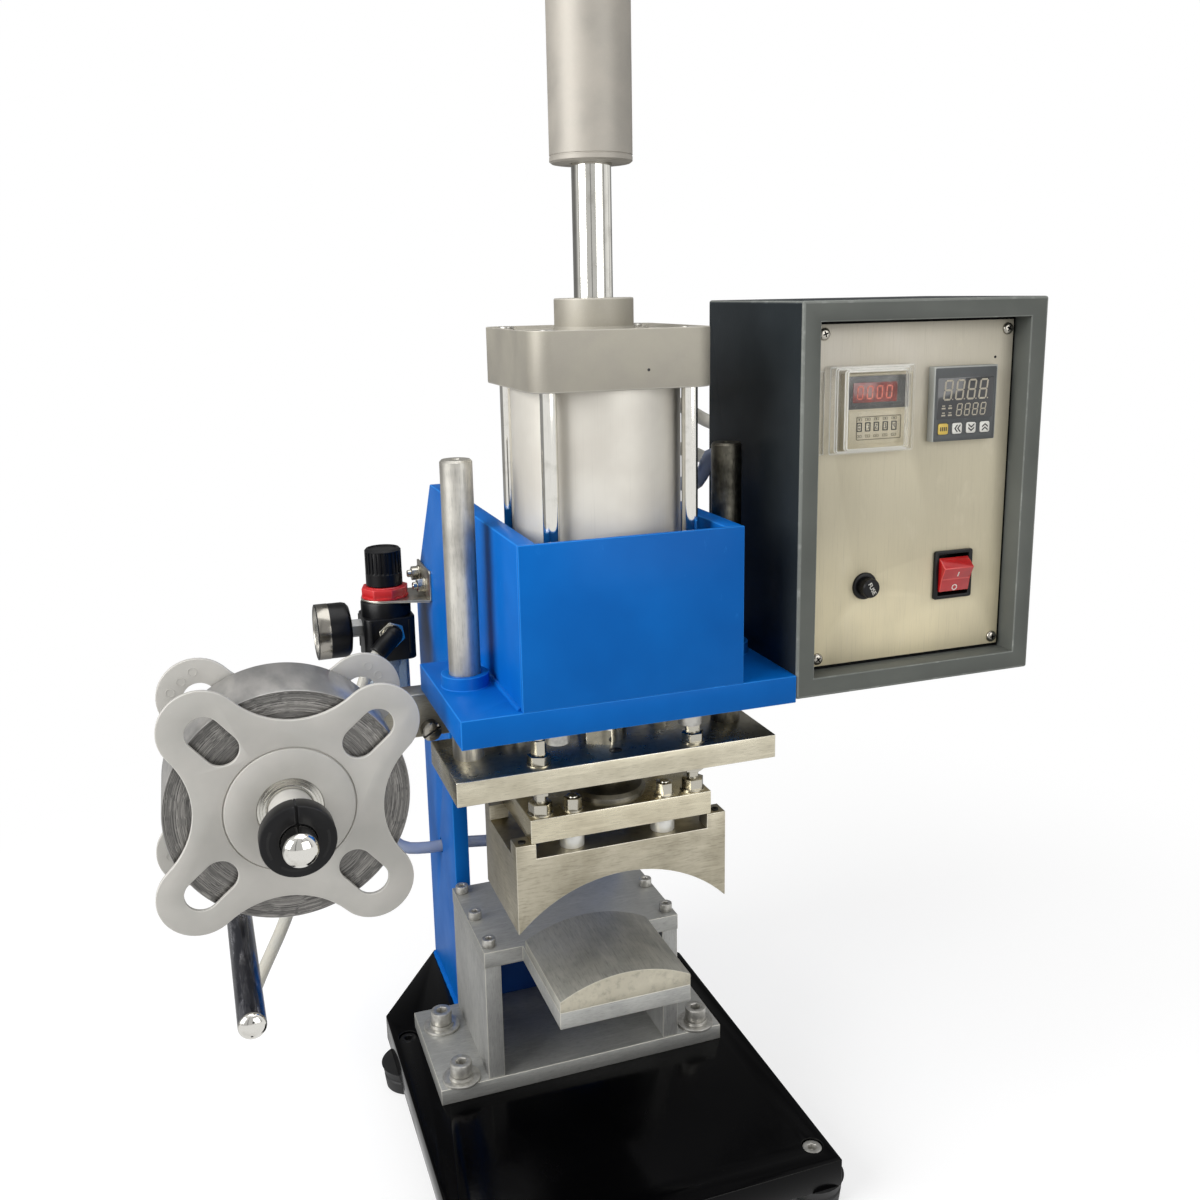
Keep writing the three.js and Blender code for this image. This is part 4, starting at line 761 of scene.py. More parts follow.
table_level, anvil_half, anvil_edge, anvil_rise = -219, 46.4, 7.7, 11.9
crest = (anvil_half ** 2 + anvil_rise ** 2) / (2 * anvil_rise)
reach = math.degrees(math.asin(anvil_half / crest))
hump = arc(0, table_level + anvil_edge + anvil_rise - crest, crest, 90 - reach, 90 + reach, 48)
anvil = slab([[(-anvil_half, table_level), (anvil_half, table_level), *hump]], "Y", 25.6, 107.6)
eased(anvil, 0.35, 2, 25)
anvil_end = ground("anvil_end", (196, 190, 172), (188, 182, 164), (6, 1, 6), 0.42, 0.01, 0.1, 0.8, 0.2)
for face in anvil.faces:
    face.material_index = 1 if face.normal.y < -0.9 else 0
piece("curved_anvil", anvil, "machine", [anvil_alloy, anvil_end], "anvil")

tops = [cap_screw((side * 69, y, table_level), 4.9, 6, 2.5, spin=31 * n) for side in (-1, 1)
        for n, y in enumerate((124.2, 166, 208.6))]
piece("table_screws", joined(*tops), "machine", zinc_screw)
feet_bolts = []
for n, (x, y) in enumerate(((-93.5, 124), (93.5, 124), (-93.5, 192), (93.5, 192))):
    feet_bolts.append(turned([(5.4, -321), (14, -321), (14, -319), (5.4, -319), (5.4, -321)], (x, y, 0), steps=56,
                             ease=0.35))
    spring_ring = [(5.2, -319), (9.2, -319), (8.8, -316.9), (5.2, -316.6), (5.2, -319)]
    feet_bolts.append(turned(spring_ring, (x, y, 0), steps=48))
    feet_bolts.append(cap_screw((x, y, -316.8), 8, 10, 4.2, spin=27 * n))
piece("table_bolts", joined(*feet_bolts), "machine", zinc_screw)

# Control box: 2 mm sheet folded and welded, in fine-textured grey enamel. Its front is a deep frame,
# folded back to a narrow ledge that the panel is screwed to. Hoses pass through plain holes.
grey_enamel = painted("grey_enamel", (106, 109, 104), (96, 99, 95), 0.36, 0.05, 0.08, (0.5, 0.8))
shell = solid("control_box")
outer_low, outer_high = Vector((109, 0, -16.2)), Vector((287.5, 134.7, 233.3))


def gaps(spot):
    """How far a place is from the nearer outer face of the box, along each axis."""
    return [min(abs(spot[n] - outer_low[n]), abs(spot[n] - outer_high[n])) for n in range(3)]


def on_corner(spot):
    """Whether a place is where two outer faces meet."""
    return sum(gap < 0.1 for gap in gaps(spot)) >= 2


eased(shell, 1.7, 4, 30, on_corner)
eased(shell, 0.7, 2, 80, lambda middle: abs(middle.y) < 0.05)
for face in shell.faces:
    middle = face.calc_center_median()
    aside, _, level = gaps(middle)
    outer = min(aside, level) < 0.3
    # Ledge faces seen in the gap round the panel take a near-black paint: painted shade in the gap.
    behind = 12 < middle.y < 20 and face.normal.y < -0.5
    dark = outer and middle.y > 3 or middle.y > 130
    face.material_index = 2 if behind else 1 if dark else 0
charcoal = painted("charcoal_enamel", (46, 51, 54), (38, 43, 46), 0.34, 0.05, 0.08, (0.5, 0.8))
ledge_shade_black = painted("painted_ledge_shade", (14, 15, 16), (10, 11, 12), 0.6, 0.05, 0, (0.5, 0.8))
piece("box_shell", shell, "machine", [grey_enamel, charcoal, ledge_shade_black], "control_box")

# Instrument panel: brushed stainless sheet with cut-outs, held by four cross-head screws.
brushed = Finish("panel_brushed")
lines = brushed.noise(0.45, 4, 0.7, (1, 1, 60))
sweep = brushed.noise(70, 3, 0.5, (1, 1, 1.6)).between(0.3, 0.7)
patch = brushed.noise(11, 4, 0.6, (1, 1, 2)).between(0.55, 0.8)
_, _, high = brushed.split(brushed.place)
lower = high.between(at(0, 0, 10).z * 1000, at(0, 0, 110).z * 1000)
upper = high.between(at(0, 0, 120).z * 1000, at(0, 0, 205).z * 1000)
tone = brushed.blend(upper, brushed.blend(lower, tint(238, 226, 190), tint(196, 188, 164)), tint(206, 200, 188))
tone = brushed.blend(sweep * 0.5, tone, tint(184, 176, 152))
tone = brushed.blend(lines.between(0.5, 0.85) * 0.4, tone, tint(150, 143, 124))
tone = brushed.blend(patch * 0.25, tone, tint(222, 214, 192))
panel_steel = brushed.close(tone, 0.42 + 0.14 * lines + 0.06 * sweep, 0.22, normal=brushed.bump(lines, 0.012))


def rectangle(across, up, wide, tall, corner=0, steps=5):
    """The outline of a rectangle about its middle, with rounded corners if asked."""
    if not corner:
        return [(across + a * wide / 2, up + b * tall / 2) for a, b in ((-1, -1), (1, -1), (1, 1), (-1, 1))]
    loop = []
    for turn, (a, b) in zip((180, 270, 0, 90), ((-1, -1), (1, -1), (1, 1), (-1, 1))):
        loop += arc(across + a * (wide / 2 - corner), up + b * (tall / 2 - corner), corner, turn, turn + 90, steps)
    return loop


timer_x, timer_z, meter_x, meter_z = 169.0, 164.1, 233.0, 166.3
switch_x, switch_z, fuse_x, fuse_z = 233.36, 51.7, 166.0, 49.9
cuts = [rectangle(timer_x, timer_z, 45.3, 45.3), rectangle(meter_x, meter_z, 45.3, 45.3),
        rectangle(switch_x, switch_z, 26.3, 31), arc(fuse_x, fuse_z, 6.2, 0, 351, 39)]
sheet = slab([rectangle(198.0, 108.8, 149.4, 219.8), *cuts], "Y", 15, 16.5)
eased(sheet, 0.2, 2, 60)
piece("steel_panel", sheet, "machine", panel_steel, "control_panel")


def cross_screw(place, radius, axis, spin=0):
    """A pan-head screw with a cross recess."""
    top = 0.55 * radius
    made = turned([(radius, 0), (radius, 0.14 * radius), (0.94 * radius, 0.30 * radius), (0.80 * radius, 0.44 * radius),
                   (0.55 * radius, top)], steps=36)
    lip = [e for e in made.edges if e.is_boundary and e.verts[0].co.z > top / 2]
    slim, long = 0.13 * radius, 0.50 * radius
    ring = [(long, -slim), (long, slim), (slim, slim), (slim, long), (-slim, long), (-slim, slim), (-long, slim),
            (-long, -slim), (-slim, -slim), (-slim, -long), (slim, -long), (slim, -slim)]
    spots = [made.verts.new((x, y, top)) for x, y in ring]
    cross = [made.edges.new(pair) for pair in zip(spots, spots[1:] + spots[:1])]
    bmesh.ops.triangle_fill(made, use_beauty=True, use_dissolve=False, edges=lip + cross)
    sunk = bmesh.ops.extrude_edge_only(made, edges=cross)["geom"]
    deep = [v for v in sunk if isinstance(v, bmesh.types.BMVert)]
    for v in deep:
        v.co = (v.co.x * 0.7, v.co.y * 0.7, top * 0.25)
    bmesh.ops.contextual_create(made, geom=deep)
    # The recess is drawn black: painted shade in the cross.
    for face in {face for v in deep for face in v.link_faces}:
        face.material_index = 1
    foot = [e for e in made.edges if e.is_boundary]
    bmesh.ops.contextual_create(made, geom=foot)
    bmesh.ops.recalc_face_normals(made, faces=made.faces)
    return placed(made, place, axis, spin)


nickel = polished("nickel_screw", (158, 154, 146), 0.16, (1, 1, 3))
corners = [cross_screw((x, 15.05, z), 3.9, (0, -1, 0), spin) for x, z, spin in
           ((132, 212.8, 20), (268, 212.8, 62), (132, 4, 35), (268, 4, 8))]
piece("panel_screws", joined(*corners), "machine", [nickel, screw_and_hole_shade_black])
rivet = turned([(0, 0.7), (0.5, 0.65), (0.8, 0.3), (0.9, 0), (0, 0)], (259.5, 15, 194.7), (0, -1, 0), 20)
piece("panel_rivet", rivet, "machine", screw_and_hole_shade_black)


# Timer: moulded beige case behind the panel, a slate window over a red display, and five thumbwheels
# set in a raised frame. The case is pushed in from the front and clipped behind the sheet.
def moulded(name, colour, shade, rough=0.42, grit=0.02, coat=0.0, speck=0.35, mirror=0.5):
    """Injection-moulded plastic: spark-eroded grain, soft drift in the colour, dusty corners."""
    shell = Finish(name)
    drift = shell.noise(24, 3).between(0.3, 0.7)
    grain = shell.noise(0.6, 2, 0.6)
    dusty = shell.noise(5, 5, 0.7).between(0.66, 0.8)
    tone = shell.blend(drift, tint(*colour), tint(*shade))
    pale = tuple(min(255, c + 38) for c in colour)
    tone = shell.blend(dusty * speck, tone, tint(*pale))
    tone = shell.blend(shell.edge_wear_and_highlight() * 0.25, tone, tint(*pale))
    return shell.close(tone, rough + 0.14 * grain + 0.10 * dusty, coat_weight=coat, normal=shell.bump(grain, grit),
                       specular_ior_level=mirror)


def brick(low, high, ease=0, segments=2):
    """A plain block between two corners."""
    made = fresh()
    bmesh.ops.create_cube(made, size=1)
    low, high = Vector(low), Vector(high)
    matrix = Matrix.Translation((low + high) / 2) @ Matrix.Diagonal((*(high - low), 1))
    bmesh.ops.transform(made, matrix=matrix, verts=made.verts)
    return eased(made, ease, segments) if ease else made


def plate(loop, front, back, ease=0, holes=()):
    """A flat piece that faces the operator."""
    made = slab([loop, *holes], "Y", front, back)
    return eased(made, ease, 2, 50) if ease else made


def seven(lit, left, low, wide, tall, thick, lean, front, back):
    """The lit bars of one seven-segment figure, as small hexagonal strips."""
    half, gap = thick / 2, thick * 0.12
    level = {"a": tall - half, "g": tall / 2, "d": half}
    upright = {"f": (half, tall / 2, tall - half), "b": (wide - half, tall / 2, tall - half),
               "e": (half, half, tall / 2), "c": (wide - half, half, tall / 2)}
    made = []
    for bar in lit:
        if bar in level:
            z, x0, x1 = level[bar], half + gap, wide - half - gap
            loop = [(x0, z), (x0 + half, z + half), (x1 - half, z + half), (x1, z), (x1 - half, z - half),
                    (x0 + half, z - half)]
        else:
            x, z0, z1 = upright[bar]
            z0, z1 = z0 + gap, z1 - gap
            loop = [(x, z0), (x + half, z0 + half), (x + half, z1 - half), (x, z1), (x - half, z1 - half),
                    (x - half, z0 + half)]
        made.append(slab([[(left + a + lean * b, low + b) for a, b in loop]], "Y", front, back))
    return made


beige = moulded("beige_plastic", (212, 203, 178), (203, 194, 168))
beige_dark = moulded("beige_shadow", (128, 120, 98), (116, 108, 88))
slate = moulded("slate_window", (66, 68, 70), (58, 60, 62), 0.2, 0.004, 0.2)
bezel_front = brick((145, 9.8, 140.1), (193, 15, 188.1))
frame_hole = rectangle(timer_x, timer_z, 45.2, 45.6, 0.6)
frame_ring = plate(rectangle(timer_x, timer_z, 48, 48, 1.2), 9, 10.2, 0.25, [frame_hole])
deep_body = brick((146.75, 15, 141.85), (191.25, 90, 186.35), 0.8)
piece("timer_body", joined(bezel_front, frame_ring, deep_body), "machine", beige, "timer_case")
piece("timer_window", plate(rectangle(168.75, 176.25, 43.5, 20.5, 0.6), 9.25, 9.95, 0.15), "machine", slate)
lens = Finish("red_lens")
mottle = lens.noise(5, 4, 0.6).between(0.35, 0.7)
lens_red = lens.close(lens.blend(mottle, tint(112, 28, 26), tint(152, 44, 38)), 0.12 + 0.1 * mottle, coat_weight=0.6)
piece("timer_lens", plate(rectangle(166, 176.25, 32, 12.5, 0.8), 9.0, 9.4, 0.15), "machine", lens_red)
glow_paint = Finish("timer_figure")
fade = glow_paint.noise(3, 2).between(0.3, 0.7)
figure_red = glow_paint.close(glow_paint.blend(fade, tint(236, 128, 104), tint(222, 104, 84)), 0.3 + 0.1 * fade)
figures = []
for n in range(4):
    figures += seven("abcdef", 152.6 + 7 * n, 171.9, 4.6, 8.6, 0.95, 0.06, 8.92, 9.05)
piece("timer_figures", joined(*figures), "machine", figure_red)
piece("timer_plate", plate(rectangle(168.3, 154.05, 41, 20.5, 0.5), 9.3, 9.95, 0.15), "machine", beige)
window_x, window_z, wheel_z = 169.25, 153.95, 154.75
window_hole = rectangle(window_x, window_z, 31.5, 13.9, 0.5)
border = [plate(rectangle(window_x, window_z, 32.5, 14.9, 0.8), 9.05, 9.35, 0, [window_hole])]
wheels, marks = [], []
for n, x in enumerate((155.1, 161.3, 167.5, 174.0, 180.4)):
    marks.append(plate(rectangle(x, wheel_z, 3.8, 5.8, 0.3), 8.95, 9.35, 0.06, [rectangle(x, wheel_z, 2.5, 4.6, 0.2)]))
    wheel = turned([(0, -1.3), (3.4, -1.3), (3.4, 1.3), (0, 1.3)], steps=40)
    wheels.append(placed(wheel, (x, 12.65, wheel_z), (1, 0, 0)))
    marks += seven(("abcdef", "bc", "abged", "abgcd", "fgbc")[n], x - 0.75, 153.2, 1.5, 3.1, 0.48, 0, 9.18, 9.28)
    for z in (159.5, 149.0):
        border.append(plate(rectangle(x, z, 3.6, 1.7, 0.3), 9.1, 9.35, 0.05, [rectangle(x, z, 3.0, 1.1, 0.2)]))
        marks.append(plate(rectangle(x, z, 1.3, 0.3), 9.2, 9.35))
    marks.append(plate(rectangle(x, 159.5, 0.3, 1.0), 9.18, 9.35))
piece("timer_borders", joined(*border), "machine", beige_dark)
wheel_white = moulded("wheel_white", (240, 233, 212), (230, 223, 202))
piece("timer_wheels", joined(*wheels), "machine", wheel_white)
ink = moulded("black_ink", (34, 34, 34), (46, 46, 44), 0.5, 0.004)
piece("timer_marks", joined(*marks), "machine", ink)

# Timer cover: a clear polycarbonate box with stepped sides, hinged along its top edge.
# A flat flap on its left is the thumb tab.
clear = Finish("clear_cover")
hazy = clear.noise(9, 4, 0.6).between(0.45, 0.75)
scratch = clear.noise(1.2, 3, 0.7, (1, 1, 9)).between(0.62, 0.75)
# The eased edges, the front rim and the stepped sides are whitened and made less clear: a painted highlight.
painted_edge_highlight = clear.edge_wear_and_highlight()
veil = 0.03 + 0.05 * hazy + 0.05 * scratch + 0.8 * painted_edge_highlight
clear_plastic = clear.close(clear.blend(painted_edge_highlight, tint(226, 222, 208), tint(255, 254, 248)), 0.05 + 0.10 * hazy,
                            alpha=veil, coat_weight=0.3)


def tray(loops, walls):
    """An open moulded shell: outlines from the front face back, then a wall of even thickness."""
    made = fresh()
    rings = [[made.verts.new((a, y, b)) for a, b in loop] for y, loop in loops]
    made.faces.new(rings[0])
    for near, far in zip(rings, rings[1:]):
        for n in range(len(near)):
            made.faces.new((near[n], far[n], far[(n + 1) % len(far)], near[(n + 1) % len(near)]))
    bmesh.ops.recalc_face_normals(made, faces=made.faces)
    if made.faces[:][0].normal.y > 0:
        bmesh.ops.reverse_faces(made, faces=made.faces)
    eased(made, 0.2, 2, 40)
    bmesh.ops.solidify(made, geom=list(made.faces), thickness=walls)
    return made


steps = [(3.0, rectangle(164.5, 165.8, 43.6, 49, 1.6)), (5.4, rectangle(164.5, 165.8, 44.2, 49.6, 1.8)),
         (5.4, rectangle(163.3, 165.8, 52.8, 51.8, 1.8)), (7.2, rectangle(163.3, 165.8, 53.4, 52.4, 1.8)),
         (7.2, rectangle(163.25, 165.8, 61.4, 54.6, 1.6)), (14.6, rectangle(163.25, 165.8, 62.3, 55.3, 1.6))]
cover = tray(steps, 1.0)
edge_wear_and_highlight = cover.faces.layers.float["edge_wear_and_highlight"]
# The front rim is marked fully and the stepped sides partly for the painted edge highlight.
for face in cover.faces:
    rim = sum(abs(v.co.y - 14.6) < 0.05 for v in face.verts) >= 3
    turn = abs(face.normal.y) < 0.6 and face.calc_center_median().y < 7.3
    face[edge_wear_and_highlight] = max(face[edge_wear_and_highlight], 1 if rim else 0.4 if turn else 0)
flap = brick((124, 13.5, 138.1), (132.6, 14.6, 190.1), 0.3)
knuckles = [turned([(0, 0), (1.1, 0), (1.1, 6), (0, 6)], (x, 13.4, 192.3), (1, 0, 0), 20) for x in (134, 186.5)]
piece("cover_shell", joined(cover, flap, *knuckles), "cover", clear_plastic, "timer_cover")

# Temperature controller: grey case with a dark printed front, a smoked window over two rows of unlit
# figures, and four soft keys that sink into their pockets.
case_grey = moulded("case_grey", (172, 174, 170), (160, 162, 158))
front_grey = moulded("front_grey", (72, 75, 76), (64, 67, 68), 0.4, 0.01)
smoked = moulded("smoked_window", (46, 47, 48), (40, 41, 42), 0.10, 0.003, 0.6)
unlit = moulded("unlit_figure", (184, 176, 158), (172, 164, 146), 0.3, 0.003)
piece("controller_shell", solid("controller_case", 0.35), "machine", case_grey, "controller_case")
key_spots = [216.7 + 10.65 * n for n in range(4)]
key_z = 150.4
pockets = [rectangle(x, key_z, 7.7, 7.5, 1.4) for x in key_spots]
front = plate(rectangle(233, 165.85, 46.4, 46.9, 0.8), 8.3, 8.6, 0.08, pockets)
piece("controller_front", front, "machine", front_grey)
piece("controller_window", plate(rectangle(232.75, 169.9, 42.5, 26.2, 0.8), 8.15, 8.45, 0.08), "machine", smoked)
figures = []
for n in range(4):
    figures += seven("abcdefg", 215.6 + 8.9 * n, 168.6, 6.4, 13.2, 1.15, 0.12, 8.05, 8.25)
    figures.append(plate(rectangle(223.0 + 8.9 * n, 169.2, 0.9, 0.9, 0.4), 8.05, 8.25))
    figures += seven("abcdefg", 225.8 + 6.1 * n, 158.3, 4.3, 8.2, 0.75, 0.12, 8.05, 8.25)
for x in (216.4, 221.4):
    for z in (163.6, 159.1):
        figures.append(plate(rectangle(x, z, 2.9, 1.0), 8.05, 8.25))
        figures.append(plate(rectangle(x, z + 1.6, 2.1, 0.7), 8.05, 8.25))
piece("controller_figures", joined(*figures), "machine", unlit)

white_key = moulded("white_key", (232, 231, 224), (222, 220, 212), 0.35)
yellow_key = moulded("yellow_key", (226, 194, 92), (216, 184, 80), 0.35)
for n, (x, body, node) in enumerate(zip(key_spots, ("mode_key", "left_key", "down_key", "up_key"),
                                        ("key_mode", "key_left", "key_down", "key_up"))):
    cap = plate(rectangle(x, key_z, 7.2, 7.0, 1.3), 7.7, 11.4, 0.35)
    piece(f"{node}_cap", cap, body, white_key if n else yellow_key, node)
    if n:
        printed = []
        turn = math.radians((0, 0, 90, -90)[n])
        for out in (-1.1, 1.1):
            arms = [(out - 1.3, 0), (out + 0.5, 2.3), (out + 1.6, 2.3), (out - 0.2, 0), (out + 1.6, -2.3),
                    (out + 0.5, -2.3)]
            printed.append([(x + a * math.cos(turn) - b * math.sin(turn),
                             key_z + a * math.sin(turn) + b * math.cos(turn)) for a, b in arms])
    else:
        printed = [rectangle(x + a, key_z, 0.8, 2.6) for a in (-2.1, -0.7, 0.7, 2.1)]
    piece(f"{node}_mark", joined(*[plate(mark, 7.64, 7.76) for mark in printed]), body, ink)

# Rocker switch: black nylon bezel snapped into the panel, with a glossy red rocker that has a shallow V
# across its face. It stands off, with its upper end out; the marks are hot-stamped in white.
black_plastic = moulded("black_nylon", (14, 14, 15), (20, 20, 22), 0.26, 0.02, 0, 0.12, 0.22)
mouth = rectangle(switch_x, switch_z, 23.5, 28.2, 0.6)
ring = plate(rectangle(switch_x, switch_z, 29.7, 33, 1.6), 12.8, 15, 0.45, [mouth])
well = slab([rectangle(switch_x, switch_z, 25.5, 30.2), rectangle(switch_x, switch_z, 23.5, 28.2)], "Y", 15, 26)
deep = brick((switch_x - 12.75, 26, switch_z - 15.1), (switch_x + 12.75, 40, switch_z + 15.1), 0.6)
piece("switch_frame", joined(ring, well, deep), "machine", black_plastic, "switch_bezel")


rocker_y, rocker_lean, rocker_reach, rocker_dip, rocker_edge = 17, 18, 12.4, 7.6, 45.5


def rocker_corner(degrees, radius):
    """A corner of the rocker's side view, by its angle and distance from the pivot."""
    angle = math.radians(degrees - rocker_lean)
    return rocker_y - radius * math.cos(angle), switch_z + radius * math.sin(angle)


dip = rocker_corner(0, rocker_dip)
low_edge, high_edge = [rocker_corner(a, rocker_reach) for a in (-rocker_edge, rocker_edge)]
crown_line = [rocker_corner(-91, rocker_reach), low_edge, dip, high_edge, rocker_corner(91, rocker_reach)]
red_gloss = Finish("red_rocker")
depth = red_gloss.noise(9, 3).between(0.3, 0.7)
lint = red_gloss.noise(1.4, 4, 0.7).between(0.68, 0.8)
edge_and_lint = red_gloss.edge_wear_and_highlight() * 0.5 + lint * 0.2
tone = red_gloss.blend(depth, tint(192, 26, 30), tint(174, 20, 24))
tone = red_gloss.blend(edge_and_lint, tone, tint(236, 84, 78))
red_plastic = red_gloss.close(tone, 0.14 + 0.12 * depth + 0.2 * lint, coat_weight=0.4)
lever = slab([crown_line], "X", switch_x - 11.45, switch_x + 11.45)
eased(lever, 0.55, 3, 14)
piece("red_rocker", lever, "rocker", red_plastic, "switch_rocker")
white_ink = moulded("white_ink", (240, 238, 230), (230, 228, 220), 0.45, 0.003)


def on_rocker(made, start, end, share, x):
    """Lays a mark drawn in X and Z flat on one of the rocker's two slopes."""
    (y0, z0), (y1, z1) = start, end
    along = Vector((0, y1 - y0, z1 - z0)).normalized()
    out = Vector((1, 0, 0)).cross(along)
    spot = Vector((x, y0 + (y1 - y0) * share, z0 + (z1 - z0) * share))
    turn = Matrix((Vector((1, 0, 0)), -out, along)).transposed().to_4x4()
    bmesh.ops.transform(made, matrix=Matrix.Translation(spot + out * 0.03) @ turn, verts=made.verts)
    return made


stroke = on_rocker(plate(rectangle(0, 0, 0.8, 3.6), -0.05, 0.05), dip, high_edge, 0.42, 234.0)
circle = plate(arc(0, 0, 2.1, 0, 350, 35), -0.05, 0.05, 0, [arc(0, 0, 1.45, 0, 350, 35)])
on_rocker(circle, low_edge, dip, 0.30, 233.2)
piece("rocker_marks", joined(stroke, circle), "rocker", white_ink)

# Fuse holder: black phenolic barrel through the panel, held by its rim, with a bayonet cap that is
# knurled round its side.
holder_line = [(6.0, 13.4), (7.6, 13.3), (8.6, 13.7), (9, 14.4), (9, 15), (7.6, 15), (7.6, 45), (0, 45), (0, 42),
               (6.0, 42), (6.0, 13.4)]
holder = turned(holder_line, (fuse_x, 0, fuse_z), (0, 1, 0), 72)
piece("fuse_barrel", holder, "machine", black_plastic)


def numeral(text, size, place, matrix):
    """A printed number as a thin solid."""
    letters = bpy.data.curves.new("numeral", "FONT")
    letters.body, letters.size, letters.extrude = text, size, 0.04
    letters.align_x, letters.align_y = "CENTER", "CENTER"
    holder = bpy.data.objects.new("numeral", letters)
    mesh = bpy.data.meshes.new_from_object(holder)
    made = fresh()
    made.from_mesh(mesh)
    bpy.data.objects.remove(holder)
    bpy.data.meshes.remove(mesh)
    bmesh.ops.remove_doubles(made, verts=made.verts, dist=0.0005)
    bmesh.ops.transform(made, matrix=Matrix.Translation(place) @ matrix, verts=made.verts)
    return made


def fluted(radius, depth, count, low, high, ridge=0.5, steps=6):
    """A knob's side with rounded flutes, drawn along Z."""
    loop = []
    for n in range(count * steps):
        share = (n % steps) / steps
        dent = depth if share < ridge else 0
        loop.append(((radius - dent) * math.cos(2 * math.pi * n / (count * steps)),
                     (radius - dent) * math.sin(2 * math.pi * n / (count * steps))))
    return slab([loop], "Z", low, high)


grip = fluted(6.5, 0.35, 36, 0, 5.6)
nose = turned([(0, 5.5), (6.3, 5.5), (6.2, 6.6), (5.6, 7.3), (0, 7.5)], steps=56)
collar_ring = turned([(0, -0.2), (6.45, -0.2), (6.45, 0.4), (0, 0.4)], steps=56)
stem = turned([(0, 0), (0, -28), (5.2, -28), (5.6, -27.4), (5.6, 0)], steps=40)
cap = joined(grip, nose, collar_ring, stem)
placed(cap, (fuse_x, 13.0, fuse_z), (0, -1, 0))
piece("fuse_knob", cap, "fuse", black_plastic, "fuse_cap")
facing = Matrix.Rotation(math.radians(62), 4, "Y") @ Matrix.Rotation(math.radians(90), 4, "X")
piece("fuse_word", numeral("FUSE", 4.1, (fuse_x, 5.44, fuse_z), facing), "fuse", white_ink)

# Solenoid valve inside the box: an extruded alloy body on the side wall with a moulded black coil on top.
valve_alloy = ground("valve_alloy", (176, 176, 172), (160, 160, 156), (1, 1, 8), 0.34, 0.02, 0.1)
valve_body = brick((111, 90, 94), (133, 130, 139), 0.7)
piece("valve_block", valve_body, "machine", valve_alloy, "solenoid_valve")
piece("valve_coil", brick((111.6, 91, 139), (132.4, 129, 165.9), 1.6, 3), "machine", black_plastic)


# Filter-regulator: glass-filled nylon body with ribs, a clear bowl below, a nickel port nut and black
# push-in elbows. A red lock ring holds it to the shelf of the bracket.
def upright(loop, low, high, ease=0):
    """A block that stands up from its outline."""
    made = slab([loop], "Z", low, high)
    return eased(made, ease, 2, 25) if ease else made


reg_x, reg_y = -103.5, 286
body = upright(rectangle(reg_x, reg_y, 40, 40, 7, 6), -41.5, -7, 0.8)
skirt = turned([(0, -9), (18.8, -9), (19.6, -8), (19.6, 3.6), (18.8, 4.9), (15, 4.9), (15, 7.2), (0, 7.2)],
               (reg_x, reg_y, 0), steps=72)
band = turned([(0, -12.4), (19.9, -12.4), (19.9, -10.6), (19.2, -9.8), (0, -9.8)], (reg_x, reg_y, 0), steps=72)
foot = turned([(0, -42), (18.2, -42), (18.8, -41), (18.8, -37), (0, -37)], (reg_x, reg_y, 0), steps=72)
ribs = [brick((reg_x + x - 0.9, reg_y - 20.4, -36), (reg_x + x + 0.9, reg_y - 19, -9), 0.3) for x in (-14.6, 14.6)]
ribs += [brick((reg_x - 20.4, reg_y + y - 0.9, -36), (reg_x - 19, reg_y + y + 0.9, -9), 0.3) for y in (-14.6, 14.6)]


def bar_between(start, end, radius, steps=36, ease=0.5):
    """A round bar from one place to another."""
    run = Vector(end) - Vector(start)
    line = [(0, 0), (radius, 0), (radius, run.length), (0, run.length)]
    return turned(line, start, run.normalized(), steps, ease)


def ball(radius, place):
    """The rounded outside of an elbow's bend."""
    bend = [math.radians(a) for a in range(-80, 81, 10)]
    line = [(0, -radius), *[(radius * math.cos(a), radius * math.sin(a)) for a in bend], (0, radius)]
    return turned(line, place, steps=36)


port_z = -18
front_bend, rear_bend = (reg_x, 256.75, port_z), (reg_x, 312, port_z)
knee = ball(7.3, front_bend)
elbow_end = (-117.6, 250.17, -29.67)
elbow = [knee, bar_between(front_bend, elbow_end, 7.2, ease=0.8),
         bar_between((reg_x, 262, port_z), front_bend, 7.2)]
rear_knee = ball(6.5, rear_bend)
rear = [bar_between((reg_x, 304, port_z), rear_bend, 6.3), rear_knee,
        bar_between(rear_bend, (reg_x, 312, -30.5), 6.3, ease=0.6)]
piece("regulator_housing", joined(body, skirt, band, foot, *ribs, *elbow, *rear), "machine", black_plastic,
      "regulator_body")
port_hexagon = hexagon((reg_x, 266, -19), 18.4, 4.4, (0, -1, 0), 10)
port_face = turned([(0, 0), (8.2, 0), (7.8, 1.3), (0, 1.3)], (reg_x, 261.6, -18.6), (0, -1, 0), 40)
piece("port_nut", joined(port_hexagon, port_face), "machine", bright)
bowl_line = [(0, -86), (5, -85.6), (10, -83.9), (13.8, -81.2), (15.6, -78.2), (16, -75), (16, -41.8), (14.4, -41.8),
             (14.4, -75), (13.6, -77.6), (12, -80.0), (9, -82.4), (4.6, -84), (0, -84.4)]
bowl_finish = Finish("clear_bowl")
mist = bowl_finish.noise(12, 4).between(0.4, 0.75)
bowl_clear = bowl_finish.close(bowl_finish.blend(mist, tint(196, 206, 214), tint(176, 188, 198)), 0.08 + 0.14 * mist,
                               transmission_weight=0.72, ior=1.3)
piece("filter_bowl", turned(bowl_line, (reg_x, reg_y, 0), steps=72), "machine", bowl_clear)
element_line = [(0, -72), (7, -72), (7.6, -70), (7.6, -52), (9.4, -50), (9.4, -44), (0, -44)]
piece("filter_element", turned(element_line, (reg_x, reg_y, 0), steps=40), "machine", white_key)
lock_red = moulded("lock_red", (208, 40, 42), (192, 30, 34), 0.3, 0.02, 0.2, 0.2)
